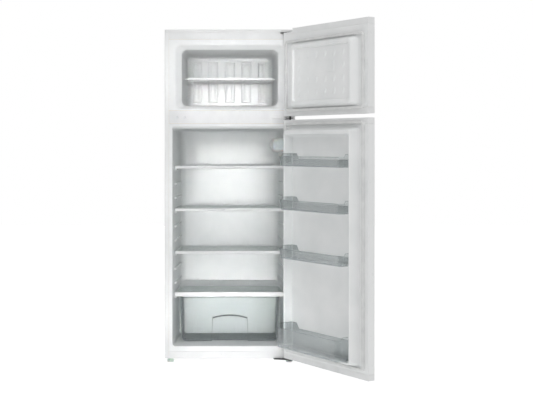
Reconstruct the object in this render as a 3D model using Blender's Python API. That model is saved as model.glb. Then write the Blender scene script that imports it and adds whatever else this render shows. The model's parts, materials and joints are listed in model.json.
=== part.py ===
"""Top freezer refrigerator with both doors standing open, as separate working pieces.

Run with: blender --background --python part.py
Units are metres. X is left to right across the front, Y runs from the front to the back,
Z is up. Every piece is drawn in cabinet coordinates: X from the middle of the cabinet,
Y from its front face, Z from the floor, doors closed. The doors' hinge empties then swing
the doors open, and the root empty moves the middle of the whole object's footprint to the origin.
"""
from math import atan2, ceil, cos, pi, radians, sin

import bmesh
import bpy
from mathutils import Matrix, Vector

# ---- fits ----------------------------------------------------------------------
GAP = 0.0003             # between pieces that lie on each other
PIN_CLEARANCE = 0.0005   # radial play of a hinge pin or stud in its hole

# ---- cabinet -------------------------------------------------------------------
CABINET_WIDTH = 0.555
CABINET_HEIGHT = 1.420
CABINET_DEPTH = 0.475
FOOT_HEIGHT = 0.021
SHEET = 0.0008           # steel sheet
FLANGE_WIDTH = 0.0175    # front flange of a side panel
BEAM_HEIGHT = 0.028      # front bottom beam
SILL_HEIGHT = 0.0234     # liner flange under the fridge opening
LINTEL_HEIGHT = 0.011    # liner flange over the fridge opening
MULLION_HEIGHT = 0.055   # cover strip between the two compartments
FREEZER_SILL = 0.0065
FREEZER_HEIGHT = 0.2725  # height of the freezer opening
FREEZER_LINTEL = 0.024
TOP_RAIL_HEIGHT = 0.029
TOP_COVER_HEIGHT = 0.013
COVER_WALL = 0.0025
COVER_CORNER = 0.006     # top cover's upright corners
SIDE_BEND = 0.003        # inside radius of a side panel's bend
PAST = 0.010             # how far a cutter runs past the surface it cuts
BEAM_FOOT_DEPTH = 0.045  # bottom beam's lower and upper lip, back from the front
BEAM_TOP_DEPTH = 0.030
BOTTOM_PANEL_FRONT = 0.047

# ---- liners --------------------------------------------------------------------
LINER_WALL = 0.0015
FREEZER_MOUTH_HALF = CABINET_WIDTH / 2 - 0.0455
FREEZER_THROAT_HALF = CABINET_WIDTH / 2 - 0.0719
FREEZER_BACK_HALF = CABINET_WIDTH / 2 - 0.0815
FREEZER_THROAT_DEPTH = 0.025
FREEZER_SILL_RISE = 0.0135
FREEZER_CEILING_DROP = 0.019
FREEZER_DEPTH = 0.385
FREEZER_CORNER = 0.023
FRIDGE_MOUTH_HALF = CABINET_WIDTH / 2 - 0.0325
FRIDGE_BACK_HALF = CABINET_WIDTH / 2 - 0.0520
FRIDGE_DEPTH = 0.390
FRIDGE_CORNER = 0.011
FRIDGE_CEILING_DROP = 0.010
FRIDGE_FLOOR_RISE = 0.0016
FRIDGE_EDGE_DEPTH = 0.012
REAR_CORNER = 0.027
FOAM_CLEARANCE = 0.0008  # between a liner's outside and the foam
EVAPORATOR = 0.001       # thickness of the plate behind the freezer liner
EVAPORATOR_MARGIN = 0.035
HUMP_FRONT = 0.312       # front of the step over the compressor
HUMP_SLOPE = 0.008
HUMP_HEIGHT = 0.216      # top front edge of the step, over the opening's sill
HUMP_RISE = 0.019
FLUTE_COUNT = 5
FLUTE_WIDTH = 0.032
FLUTE_PITCH = 0.076
FLUTE_PROUD = 0.004
FLUTE_MARGIN = 0.025
RAIL_PITCH = 0.0615
RAIL_HEIGHT = 0.009
RAIL_PROUD = 0.008
RAIL_FRONT = 0.100
RAIL_BACK = 0.340

# ---- shelves, lid and drawer ---------------------------------------------------
SHELF_FRONT = 0.078
SHELF_BACK = 0.345
SHELF_THICKNESS = 0.012
SHELF_SIDE_GAP = 0.0025
SHELF_COUNT = 3
GLASS = 0.004
SHELF_FRONT_BAR = 0.014
SHELF_REAR_BAR = 0.010
SHELF_SIDE_BAR = 0.006
SHELF_LEDGE = 0.003
LEDGE_THICKNESS = 0.002
GLASS_SUNK = 0.001       # glass below the frame's top
GLASS_FIT = 0.0004       # play of the glass in its frame
LID_BACK_GAP = 0.002     # between the lid's back and the step over the compressor
LID_THICKNESS = 0.019
DRAWER_FRONT = 0.092
DRAWER_BACK = 0.300
DRAWER_HALF = CABINET_WIDTH / 2 - 0.0605
DRAWER_HEIGHT = 0.191
RAIL_FIRST = DRAWER_HEIGHT + 0.0091   # lowest rail, over the opening's sill
DRAWER_WALL = 0.0022
DRAWER_DRAFT = 0.006
DRAWER_CORNER = 0.022
DRAWER_FLOOR_GAP = 0.003
GRIP_WIDTH = 0.153
GRIP_HEIGHT = 0.112
GRIP_SHOULDER = 0.100
GRIP_DEPTH = 0.030
GRIP_SPLAY = 0.004       # arch's foot wider than its shoulders, to each side
FREEZER_SHELF_FRONT = 0.075
FREEZER_SHELF_BACK = 0.355
FREEZER_SHELF_HEIGHT = 0.128   # underside of the front bar, over the freezer's sill
FREEZER_SHELF_THICKNESS = 0.010
FREEZER_SHELF_GAP = 0.003
WIRE_RADIUS = 0.0018
WIRE_COUNT = 15

# ---- doors ---------------------------------------------------------------------
HINGE_X = CABINET_WIDTH / 2 - 0.0225
HINGE_Y = -0.030
REST_ANGLE = radians(122.5)
DOOR_BACK = -0.012       # plane of the door's inner flange
DOOR_THICKNESS = 0.035
DOOR_CORNER = 0.006
DOOR_BOTTOM = 0.026
DOOR_GAP = 0.016         # between the two doors
DOOR_TOP_GAP = 0.002     # freezer door's top below the cabinet's top
DOOR_GAP_RISE = 0.022    # middle of that gap over the mullion cover's lower edge
CAP_HEIGHT = 0.024
DOOR_LINER = 0.0012
GASKET_FRONT = -0.0005
GASKET_OUTER = CABINET_WIDTH / 2 - 0.0185
GASKET_INNER = CABINET_WIDTH / 2 - 0.0315
GASKET_MARGIN = 0.0135   # gasket's outer edge past a compartment opening, up and down
DYKE_BASE = CABINET_WIDTH / 2 - 0.0519
DYKE_OUTER = CABINET_WIDTH / 2 - 0.0585
DYKE_INNER = CABINET_WIDTH / 2 - 0.0655
DYKE_FOOT = CABINET_WIDTH / 2 - 0.0673
DYKE_HEIGHT = 0.045
DYKE_TOP_MARGIN = 0.021  # crest under the fridge opening's lintel
DYKE_BOTTOM_MARGIN = 0.0096
DYKE_TOP_WIDTH = 0.016
DYKE_BOTTOM_WIDTH = 0.008
DYKE_SLOPE = 0.008
RECESS_RISE = 0.004      # bottom of the recess between the dykes, over the flange
PLATEAU_BASE = CABINET_WIDTH / 2 - 0.0555
PLATEAU_CREST = CABINET_WIDTH / 2 - 0.0805
PLATEAU_HEIGHT = 0.023
PLATEAU_MARGIN = 0.012   # crest inside the freezer opening, up and down
PLATEAU_RIM = 0.014
PLATEAU_RECESS = 0.007
GRIP_RECESS_WIDTH = 0.130
GRIP_RECESS_DEPTH = 0.020
GRIP_RECESS_HEIGHT = 0.013
GRIP_RECESS_INSET = 0.020            # from the door's free end
CAP_WALL = 0.003
CAP_HINGE_BLOCK = 0.045  # solid part of an end cap beside the pin
DYKE_CORNER = 0.014
DYKE_INNER_CORNER = 0.010
PLATEAU_SLOPE = 0.012    # of the freezer plateau's sides, over its height
PLATEAU_EDGE = 0.003     # slope from its rim down to its recess
GASKET_CORNER = 0.018
RACK_SHOULDER = (0.030, 0.046)       # start and end of a rack's sloped rear edge, from its end
RACK_DRAFT = 0.004

# ---- door racks ----------------------------------------------------------------
RACK_HALF = CABINET_WIDTH / 2 - 0.0689
RACK_WALL = 0.002
RACK_FRONT = 0.069
RACK_CORNER = 0.020
RACK_DROPS = (0.131, 0.311, 0.512)   # floor of each upper rack under the top dyke's inner edge
RACK_HEIGHT = 0.041
RACK_END_RISE = 0.011
RACK_REAR_DROP = 0.012
BOTTLE_RACK_FRONT = 0.085
BOTTLE_RACK_RISE = 0.002             # bottle rack's floor over the bottom dyke
BOTTLE_RACK_HEIGHT = 0.085

# ---- hinges and feet -----------------------------------------------------------
PIN_RADIUS = 0.004
PIN_REACH = 0.012        # into a door's end cap
HINGE_PLATE = 0.0025
FOOT_RADIUS = 0.014
FOOT_INSET = 0.0235      # foot's centre from the cabinet's side
FOOT_Y = 0.031
STUD_RADIUS = 0.004

CAP_SCREWS = (0.0518 - CABINET_WIDTH / 2, 0.0838 - CABINET_WIDTH / 2)
SCREW_CAP_RADIUS = 0.007
SCREW_RISE = 0.0245      # hinge screws and their caps over the mullion cover's lower edge
TOP_HINGE_LEFT = CABINET_WIDTH / 2 - 0.0625

HINGE_NECK = 0.002       # top and bottom plates' step in front of the cabinet
HINGE_EYE = PIN_RADIUS + 0.008       # radius of a plate's end about the pin
MIDDLE_HINGE_LEFT = CABINET_WIDTH / 2 - 0.0975
BOTTOM_HINGE_LEFT = CABINET_WIDTH / 2 - 0.0925
HINGE_ARM = 0.014        # middle plate's reach in front of the cabinet beside the pin
HINGE_TUCK = 0.034       # top plate's reach behind the cabinet's front
BOTTOM_HINGE_TUCK = 0.013
FLANGE_HALF_HEIGHT = 0.013           # middle hinge's screwed flange, about the screws
FLANGE_PIN_GAP = 0.017   # from that flange's end to the pin
SCREW_HEAD = 0.0045      # radius of a screw head, and how far it stands out

# ---- thermostat and lamp ---------------------------------------------------------
THERMOSTAT_FRONT = 0.120
THERMOSTAT_BACK = 0.230
THERMOSTAT_HEIGHT = 0.062
THERMOSTAT_DROP = 0.038  # top of the housing under the ceiling
THERMOSTAT_PROUD = 0.056
THERMOSTAT_ROUND = 0.022
LAMP_COVER_DEPTH = 0.024
KNOB_RADIUS = 0.015
KNOB_PROUD = 0.007

# ---- machine compartment -------------------------------------------------------
BAY_FRONT = 0.345
BAY_HEIGHT = 0.229       # bay's ceiling over the cabinet's underside, at its front
BAY_RISE = 0.012
TRAY_FRONT = 0.350
COMPRESSOR_X = 0.060
COMPRESSOR_Y = 0.424
COMPRESSOR_RADIUS = 0.066
COMPRESSOR_STRETCH = 1.25
COMPRESSOR_HEIGHT = 0.150
COMPRESSOR_RISE = 0.018  # shell's bottom over the tray
COMPRESSOR_LEG = 0.095   # half length of the foot plate
COMPRESSOR_MOUNT = 0.082 # rubber mounts to each side of the middle
MOUNT_FRONT = -0.040     # and in front of and behind it
MOUNT_BACK = 0.030
RELAY_HALF = 0.028
RELAY_LENGTH = 0.045
RELAY_BOTTOM = 0.035     # over the shell's bottom
RELAY_TOP = 0.105
DRIER_GAP = 0.050        # drier's middle from the compressor
DRIER_RADIUS = 0.009
TRAY_LIP = 0.014         # top of the compressor tray's lips over the cabinet's underside
REAR_FOOT_RADIUS = 0.013
REAR_FOOT_INSET = 0.035
REAR_FOOT_BACK = 0.022
PAN_HALF = 0.110         # drip tray
PAN_HEIGHT = 0.026
CONDENSER_HALF = CABINET_WIDTH / 2 - 0.0675
CONDENSER_PITCH = 0.080
CONDENSER_Y = 0.490
CONDENSER_TUBE = 0.0025
CONDENSER_RISE = 0.060   # lowest run over the bay's ceiling
CONDENSER_DROP = 0.065   # highest run under the top cover
BRACKETS = (-0.150, 0.140)
BRACKET_WIDTH = 0.010
BRACKET_LIP = 0.008
BRACKET_REACH = 0.020    # past the first and last run

# ---- worked out from the sizes above --------------------------------------------
HALF = CABINET_WIDTH / 2
BEAM_TOP = FOOT_HEIGHT + BEAM_HEIGHT
FRIDGE_SILL_Z = BEAM_TOP + SILL_HEIGHT
RAIL_Z = CABINET_HEIGHT - TOP_COVER_HEIGHT - TOP_RAIL_HEIGHT
FREEZER_TOP_Z = RAIL_Z - FREEZER_LINTEL
FREEZER_SILL_Z = FREEZER_TOP_Z - FREEZER_HEIGHT
MULLION_TOP = FREEZER_SILL_Z - FREEZER_SILL
MULLION_BOTTOM = MULLION_TOP - MULLION_HEIGHT
FRIDGE_TOP_Z = MULLION_BOTTOM - LINTEL_HEIGHT
GAP_MIDDLE = MULLION_BOTTOM + DOOR_GAP_RISE
FRIDGE_DOOR_TOP = GAP_MIDDLE - DOOR_GAP / 2
FREEZER_DOOR_BOTTOM = GAP_MIDDLE + DOOR_GAP / 2
FREEZER_DOOR_TOP = CABINET_HEIGHT - DOOR_TOP_GAP
SKIN_Y = DOOR_BACK - DOOR_THICKNESS
FRIDGE_FLOOR_Z = FRIDGE_SILL_Z + FRIDGE_FLOOR_RISE
FRIDGE_CEILING_Z = FRIDGE_TOP_Z - FRIDGE_CEILING_DROP
HUMP_Z = FRIDGE_SILL_Z + HUMP_HEIGHT
FLANGE_EDGE = HALF - FLANGE_WIDTH - GAP
DYKE_CREST_Y = DOOR_BACK + DYKE_HEIGHT
RECESS_Y = DOOR_BACK + RECESS_RISE
DYKE_CREST_TOP = FRIDGE_TOP_Z - DYKE_TOP_MARGIN
DYKE_CREST_BOTTOM = FRIDGE_SILL_Z + DYKE_BOTTOM_MARGIN
INNER_HALF = HALF - SHEET - GAP
TOP_PLATE_Z = CABINET_HEIGHT - TOP_COVER_HEIGHT - HINGE_PLATE - 2 * GAP
SCREW_Z = MULLION_BOTTOM + SCREW_RISE
CORNER_STEPS = 4
ROUND_STEPS = 16
REAR_STEPS = 3


# ---- meshes ----------------------------------------------------------------------

def rectangle_ring(half_width, bottom, top, radius, y, steps=CORNER_STEPS):
    """Round-cornered rectangle standing across the cabinet at depth y, as a closed ring of points."""
    centres = (
        (half_width - radius, bottom + radius, -pi / 2),
        (half_width - radius, top - radius, 0.0),
        (radius - half_width, top - radius, pi / 2),
        (radius - half_width, bottom + radius, pi),
    )
    ring = []
    for centre_x, centre_z, start in centres:
        for step in range(steps + 1):
            angle = start + pi / 2 * step / steps
            ring.append(Vector((centre_x + radius * cos(angle), y, centre_z + radius * sin(angle))))
    return ring


def plan_ring(half_width, front, back, radius, z, steps=CORNER_STEPS, back_radius=None):
    """Round-cornered rectangle lying flat at height z, as a closed ring of points."""
    back_radius = radius if back_radius is None else back_radius
    centres = (
        (half_width - radius, front + radius, radius, -pi / 2),
        (half_width - back_radius, back - back_radius, back_radius, 0.0),
        (back_radius - half_width, back - back_radius, back_radius, pi / 2),
        (radius - half_width, front + radius, radius, pi),
    )
    ring = []
    for centre_x, centre_y, corner, start in centres:
        for step in range(steps + 1):
            angle = start + pi / 2 * step / steps
            ring.append(Vector((centre_x + corner * cos(angle), centre_y + corner * sin(angle), z)))
    return ring


def loft(rings, closed=False):
    """Skin a stack of rings; a closed stack joins its last ring to its first, an open one is capped."""
    bm = bmesh.new()
    loops = [[bm.verts.new(point) for point in ring] for ring in rings]
    pairs = list(zip(loops, loops[1:]))
    if closed:
        pairs.append((loops[-1], loops[0]))
    for near, far in pairs:
        for index in range(len(near)):
            following = (index + 1) % len(near)
            bm.faces.new((near[index], near[following], far[following], far[index]))
    if not closed:
        bm.faces.new(loops[0])
        bm.faces.new(loops[-1])
    bmesh.ops.recalc_face_normals(bm, faces=bm.faces)
    return bm


def prism(outline, along):
    """Solid of a flat outline pushed along a vector."""
    bm = bmesh.new()
    face = bm.faces.new([bm.verts.new(point) for point in outline])
    pushed = bmesh.ops.extrude_face_region(bm, geom=[face])
    verts = [item for item in pushed["geom"] if isinstance(item, bmesh.types.BMVert)]
    bmesh.ops.translate(bm, vec=Vector(along), verts=verts)
    bmesh.ops.recalc_face_normals(bm, faces=bm.faces)
    return bm


def block(low, high, bm=None):
    """Box between two corners, in a new mesh or added to one."""
    bm = bmesh.new() if bm is None else bm
    low, high = Vector(low), Vector(high)
    made = bmesh.ops.create_cube(bm, size=1.0)
    bmesh.ops.scale(bm, vec=high - low, verts=made["verts"])
    bmesh.ops.translate(bm, vec=(low + high) / 2, verts=made["verts"])
    return bm


def rod(start, end, radius, end_radius=None, steps=ROUND_STEPS, bm=None):
    """Round bar or cone from one point to another, in a new mesh or added to one."""
    bm = bmesh.new() if bm is None else bm
    start, end = Vector(start), Vector(end)
    axis = end - start
    turn = Vector((0.0, 0.0, 1.0)).rotation_difference(axis).to_matrix().to_4x4()
    bmesh.ops.create_cone(
        bm, cap_ends=True, segments=steps, radius1=radius,
        radius2=radius if end_radius is None else end_radius, depth=axis.length,
        matrix=Matrix.Translation((start + end) / 2) @ turn)
    return bm


def turned(profile, centre, steps=ROUND_STEPS, stretch=1.0):
    """Solid turned about an upright axis from (radius, height) points, stretched across X."""
    rings = []
    for radius, height in profile:
        angles = [2 * pi * step / steps for step in range(steps)]
        rings.append([Vector((centre[0] + stretch * radius * cos(angle),
                              centre[1] + radius * sin(angle), height)) for angle in angles])
    return loft(rings)


def bent_strip(path, thickness):
    """Outline of bent sheet: a flat path of (a, b) points and the same path moved to its left."""
    moved = []
    for index, point in enumerate(path):
        before = path[max(index - 1, 0)]
        after = path[min(index + 1, len(path) - 1)]
        sides = []
        for start, end in ((before, point), (point, after)):
            run = Vector(end) - Vector(start)
            if run.length > 0:
                sides.append(Vector((-run.y, run.x)).normalized())
        middle = sum(sides, Vector((0.0, 0.0))).normalized()
        moved.append(Vector(point) + middle * thickness / middle.dot(sides[0]))
    return [Vector(point) for point in path] + moved[::-1]


def rounded_path(start, corner, end, radius, steps=3):
    """Points of a round bend of a flat path at a corner, between the directions to start and end."""
    corner = Vector(corner)
    towards_start = (Vector(start) - corner).normalized()
    towards_end = (Vector(end) - corner).normalized()
    half_angle = towards_start.angle(towards_end) / 2
    centre = corner + (towards_start + towards_end).normalized() * radius / sin(half_angle)
    first = corner + towards_start * radius / (sin(half_angle) / cos(half_angle)) - centre
    last = corner + towards_end * radius / (sin(half_angle) / cos(half_angle)) - centre
    sweep = atan2(first.x * last.y - first.y * last.x, first.dot(last))
    points = []
    for step in range(steps + 1):
        angle = sweep * step / steps
        turn = Vector((first.x * cos(angle) - first.y * sin(angle),
                       first.x * sin(angle) + first.y * cos(angle)))
        points.append(tuple(centre + turn))
    return points


# ---- objects ---------------------------------------------------------------------

MATERIALS = {
    # name: (base colour, roughness, metallic)
    "white enamelled steel": ((0.87, 0.87, 0.86), 0.30, 0.0),
    "white moulded plastic": ((0.84, 0.84, 0.83), 0.45, 0.0),
    "white liner": ((0.85, 0.86, 0.86), 0.38, 0.0),
    "clear plastic": ((0.72, 0.75, 0.76), 0.12, 0.0),
    "clear glass": ((0.70, 0.76, 0.75), 0.06, 0.0),
    "pale gasket rubber": ((0.78, 0.78, 0.77), 0.60, 0.0),
    "insulating foam": ((0.80, 0.74, 0.52), 0.85, 0.0),
    "black enamelled steel": ((0.03, 0.03, 0.03), 0.40, 0.0),
    "black plastic": ((0.04, 0.04, 0.04), 0.50, 0.0),
    "zinc plated steel": ((0.60, 0.60, 0.58), 0.35, 1.0),
    "galvanised sheet": ((0.62, 0.63, 0.63), 0.45, 1.0),
    "aluminium sheet": ((0.75, 0.76, 0.76), 0.35, 1.0),
    "copper": ((0.70, 0.37, 0.22), 0.35, 1.0),
    "milky plastic": ((0.78, 0.80, 0.80), 0.40, 0.0),
}


def material(name):
    """The named Principled material, made the first time it is asked for."""
    made = bpy.data.materials.get(name)
    if made is None:
        colour, roughness, metallic = MATERIALS[name]
        made = bpy.data.materials.new(name)
        made.use_nodes = True
        shader = made.node_tree.nodes["Principled BSDF"]
        shader.inputs["Base Color"].default_value = (*colour, 1.0)
        shader.inputs["Roughness"].default_value = roughness
        shader.inputs["Metallic"].default_value = metallic
    return made


class Group:
    """An empty that pieces hang on, with the point of the cabinet that it stands at."""

    def __init__(self, name, origin=(0.0, 0.0, 0.0), parent=None, turn=0.0):
        self.origin = Vector(origin)
        self.empty = bpy.data.objects.new(name, None)
        bpy.context.scene.collection.objects.link(self.empty)
        if parent:
            self.empty.parent = parent.empty
            self.empty.location = self.origin - parent.origin
        self.empty.rotation_euler[2] = turn


def place(name, bm, finish, group, smooth=True):
    """Make an object of a mesh drawn in cabinet coordinates, hung on a group's empty."""
    bmesh.ops.translate(bm, vec=-group.origin, verts=bm.verts)
    mesh = bpy.data.meshes.new(name)
    bm.to_mesh(mesh)
    bm.free()
    if smooth:
        mesh.shade_smooth()
        mesh.set_sharp_from_angle(angle=radians(35.0))
    mesh.materials.append(material(finish))
    made = bpy.data.objects.new(name, mesh)
    bpy.context.scene.collection.objects.link(made)
    made.parent = group.empty
    return made


def shape_with(piece, bm, group, operation):
    """Cut a mesh out of a piece, or join it on, by a Boolean with a hidden tool."""
    tool = place(f"tool_{piece.name}_{len(piece.modifiers)}", bm, "black plastic", group, smooth=False)
    tool.hide_render = True
    tool.display_type = "WIRE"
    modifier = piece.modifiers.new(tool.name, "BOOLEAN")
    modifier.operation = operation
    modifier.object = tool
    modifier.solver = "EXACT"


def cut(piece, bm, group):
    shape_with(piece, bm, group, "DIFFERENCE")


def join(piece, bm, group):
    shape_with(piece, bm, group, "UNION")


# ---- liners and cabinet ------------------------------------------------------------

def freezer_stations():
    """Inside of the freezer, front to back: depth, half width, floor, ceiling, corner radius."""
    floor = FREEZER_SILL_Z + FREEZER_SILL_RISE
    ceiling = FREEZER_TOP_Z - FREEZER_CEILING_DROP
    stations = [
        (0.0, FREEZER_MOUTH_HALF, FREEZER_SILL_Z, FREEZER_TOP_Z, FREEZER_CORNER),
        (FREEZER_THROAT_DEPTH, FREEZER_THROAT_HALF, floor, ceiling, FREEZER_CORNER),
    ]
    for step in range(REAR_STEPS + 1):
        angle = pi / 2 * step / REAR_STEPS
        inset = REAR_CORNER * (1 - cos(angle))
        depth = FREEZER_DEPTH - REAR_CORNER * (1 - sin(angle))
        stations.append((depth, FREEZER_BACK_HALF - inset, floor + inset / 2, ceiling - inset / 2,
                         FREEZER_CORNER - inset / 2))
    return stations


def fridge_stations():
    """Inside of the fridge, front to back, with the step over the compressor at the rear."""
    run = FRIDGE_DEPTH - REAR_CORNER

    def half_at(depth):
        return FRIDGE_MOUTH_HALF - (FRIDGE_MOUTH_HALF - FRIDGE_BACK_HALF) * depth / run

    stations = [
        (0.0, FRIDGE_MOUTH_HALF, FRIDGE_SILL_Z, FRIDGE_TOP_Z, FRIDGE_CORNER),
        (FRIDGE_EDGE_DEPTH, half_at(FRIDGE_EDGE_DEPTH), FRIDGE_FLOOR_Z, FRIDGE_CEILING_Z, FRIDGE_CORNER),
        (HUMP_FRONT, half_at(HUMP_FRONT), FRIDGE_FLOOR_Z, FRIDGE_CEILING_Z, FRIDGE_CORNER),
        (HUMP_FRONT + HUMP_SLOPE, half_at(HUMP_FRONT + HUMP_SLOPE), HUMP_Z, FRIDGE_CEILING_Z,
         FRIDGE_CORNER),
    ]
    for step in range(REAR_STEPS + 1):
        angle = pi / 2 * step / REAR_STEPS
        inset = REAR_CORNER * (1 - cos(angle))
        depth = FRIDGE_DEPTH - REAR_CORNER * (1 - sin(angle))
        along = (depth - HUMP_FRONT) / (FRIDGE_DEPTH - HUMP_FRONT)
        stations.append((depth, FRIDGE_BACK_HALF - inset, HUMP_Z + HUMP_RISE * along,
                         FRIDGE_CEILING_Z - inset / 2, FRIDGE_CORNER))
    return stations


def wall_half_at(stations, depth):
    """Half width between a liner's side walls at a depth."""
    for near, far in zip(stations, stations[1:]):
        if depth <= far[0]:
            share = (depth - near[0]) / (far[0] - near[0])
            return near[1] + (far[1] - near[1]) * share
    return stations[-1][1]


def liner_shell(stations, flange_bottom, flange_top):
    """Thin open box of a liner with its front flange."""
    wall = LINER_WALL
    deepest = stations[-1][0]
    rings = []
    for depth, half, bottom, top, radius in reversed(stations[1:]):
        behind = depth + wall if depth == deepest else depth
        rings.append(rectangle_ring(half + wall, bottom - wall, top + wall, radius + wall, behind))
    share = wall / stations[1][0]
    half, bottom, top, radius = (
        near + (far - near) * share for near, far in zip(stations[0][1:], stations[1][1:]))
    rings.append(rectangle_ring(half + wall, bottom - wall, top + wall, radius + wall, wall))
    rings.append(rectangle_ring(FLANGE_EDGE, flange_bottom, flange_top, GAP, wall))
    rings.append(rectangle_ring(FLANGE_EDGE, flange_bottom, flange_top, GAP, 0.0))
    for depth, half, bottom, top, radius in stations:
        rings.append(rectangle_ring(half, bottom, top, radius, depth))
    return loft(rings)


def liner_pocket(stations, clearance, behind):
    """Square-cornered block of space that a liner takes in the foam."""
    straight = stations[:-REAR_STEPS]
    deepest = (stations[-1][0], *straight[-1][1:])
    rings = []
    for depth, half, bottom, top, _ in [*straight, deepest]:
        rings.append(rectangle_ring(half + clearance, bottom - clearance, top + clearance,
                                    GAP, depth, steps=1))
    first = [point - Vector((0.0, clearance, 0.0)) for point in rings[0]]
    last = [point + Vector((0.0, behind, 0.0)) for point in rings[-1]]
    return loft([first, *rings, last])


def side_panel(name, side, cabinet):
    """Steel side with a narrow flange in front and behind."""
    outer = side * HALF
    inner = side * (HALF - FLANGE_WIDTH)
    path = [(inner, 0.0)]
    path += rounded_path((inner, 0.0), (outer, 0.0), (outer, CABINET_DEPTH), SIDE_BEND)
    path += [(outer, CABINET_DEPTH), (inner, CABINET_DEPTH)]
    if side < 0:
        path.reverse()
    outline = [Vector((x, y, FOOT_HEIGHT)) for x, y in bent_strip(path, SHEET)]
    height = CABINET_HEIGHT - TOP_COVER_HEIGHT - GAP - FOOT_HEIGHT
    place(name, prism(outline, (0.0, 0.0, height)), "white enamelled steel", cabinet)


def make_casing(cabinet):
    """Outer sheets, top cover, front strips and the foam between them and the liners."""
    side_panel("left_side_panel", -1, cabinet)
    side_panel("right_side_panel", 1, cabinet)
    cover_z = CABINET_HEIGHT - TOP_COVER_HEIGHT
    bay_ceiling = FOOT_HEIGHT + BAY_HEIGHT
    panel_half = HALF - FLANGE_WIDTH - GAP
    place("back_panel", block((-panel_half, CABINET_DEPTH - SHEET, bay_ceiling + BAY_RISE + 3 * SHEET),
                              (panel_half, CABINET_DEPTH, cover_z - GAP)),
          "galvanised sheet", cabinet)

    rings = []
    for inset, z in ((0.0, cover_z), (0.0, CABINET_HEIGHT - COVER_WALL), (COVER_WALL, CABINET_HEIGHT)):
        rings.append(plan_ring(HALF + GAP - inset, inset - GAP, CABINET_DEPTH - inset,
                               COVER_CORNER, z, steps=2))
    for z in (cover_z, CABINET_HEIGHT - COVER_WALL):
        rings.insert(0, plan_ring(HALF - COVER_WALL, COVER_WALL, CABINET_DEPTH - COVER_WALL,
                                  COVER_CORNER - 0.002, z, steps=2))
    place("top_cover", loft(rings), "white moulded plastic", cabinet)

    rail = place("top_front_rail", block((-FLANGE_EDGE, 0.0, RAIL_Z + GAP),
                                         (FLANGE_EDGE, COVER_WALL, cover_z - GAP)),
                 "white moulded plastic", cabinet)
    cut(rail, block((TOP_HINGE_LEFT - 2 * GAP, -PAST, TOP_PLATE_Z - 2 * GAP),
                    (HALF, PAST, cover_z + PAST)), cabinet)
    mullion = place("mullion_cover", block((-FLANGE_EDGE, 0.0, MULLION_BOTTOM + GAP),
                                           (FLANGE_EDGE, COVER_WALL, MULLION_TOP - GAP)),
                    "white moulded plastic", cabinet)
    for x in CAP_SCREWS:
        cut(mullion, rod((x, -PAST, SCREW_Z), (x, PAST, SCREW_Z),
                         SCREW_CAP_RADIUS - 0.002), cabinet)

    beam_path = [(BEAM_FOOT_DEPTH, FOOT_HEIGHT + GAP), (0.0, FOOT_HEIGHT + GAP),
                 (0.0, BEAM_TOP - GAP), (BEAM_TOP_DEPTH, BEAM_TOP - GAP)]
    outline = [Vector((-FLANGE_EDGE, y, z)) for y, z in bent_strip(beam_path[::-1], 2 * SHEET)]
    beam = place("front_bottom_beam", prism(outline, (2 * FLANGE_EDGE, 0.0, 0.0)),
                 "white enamelled steel", cabinet)
    for side in (-1, 1):
        x = side * (HALF - FOOT_INSET)
        cut(beam, rod((x, FOOT_Y, 0.0), (x, FOOT_Y, BEAM_TOP - 0.006), STUD_RADIUS + PIN_CLEARANCE),
            cabinet)

    floor_path = [(BOTTOM_PANEL_FRONT, FOOT_HEIGHT), (BAY_FRONT, FOOT_HEIGHT), (BAY_FRONT, bay_ceiling),
                  (CABINET_DEPTH - SHEET - GAP, bay_ceiling + BAY_RISE)]
    outline = [Vector((-INNER_HALF, y, z)) for y, z in bent_strip(floor_path, SHEET)]
    place("bottom_panel", prism(outline, (2 * INNER_HALF, 0.0, 0.0)), "galvanised sheet", cabinet)

    foam = place("cabinet_foam", block((-INNER_HALF, COVER_WALL + GAP, FOOT_HEIGHT + 2 * SHEET),
                                       (INNER_HALF, CABINET_DEPTH - SHEET - GAP, TOP_PLATE_Z - GAP)),
                 "insulating foam", cabinet)
    clearance = LINER_WALL + FOAM_CLEARANCE
    cut(foam, liner_pocket(freezer_stations(), clearance, clearance + EVAPORATOR + 2 * GAP), cabinet)
    cut(foam, liner_pocket(fridge_stations(), clearance, clearance), cabinet)
    cut(foam, block((-HALF, -PAST, 0.0), (HALF, BOTTOM_PANEL_FRONT + SHEET, BEAM_TOP + GAP)), cabinet)
    bay_outline = [Vector((-HALF, y, z)) for y, z in (
        (BAY_FRONT - SHEET - GAP, 0.0), (CABINET_DEPTH + PAST, 0.0),
        (CABINET_DEPTH + PAST, bay_ceiling + BAY_RISE + 3 * SHEET),
        (BAY_FRONT - SHEET - GAP, bay_ceiling + 2 * SHEET))]
    cut(foam, prism(bay_outline, (CABINET_WIDTH, 0.0, 0.0)), cabinet)


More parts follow.
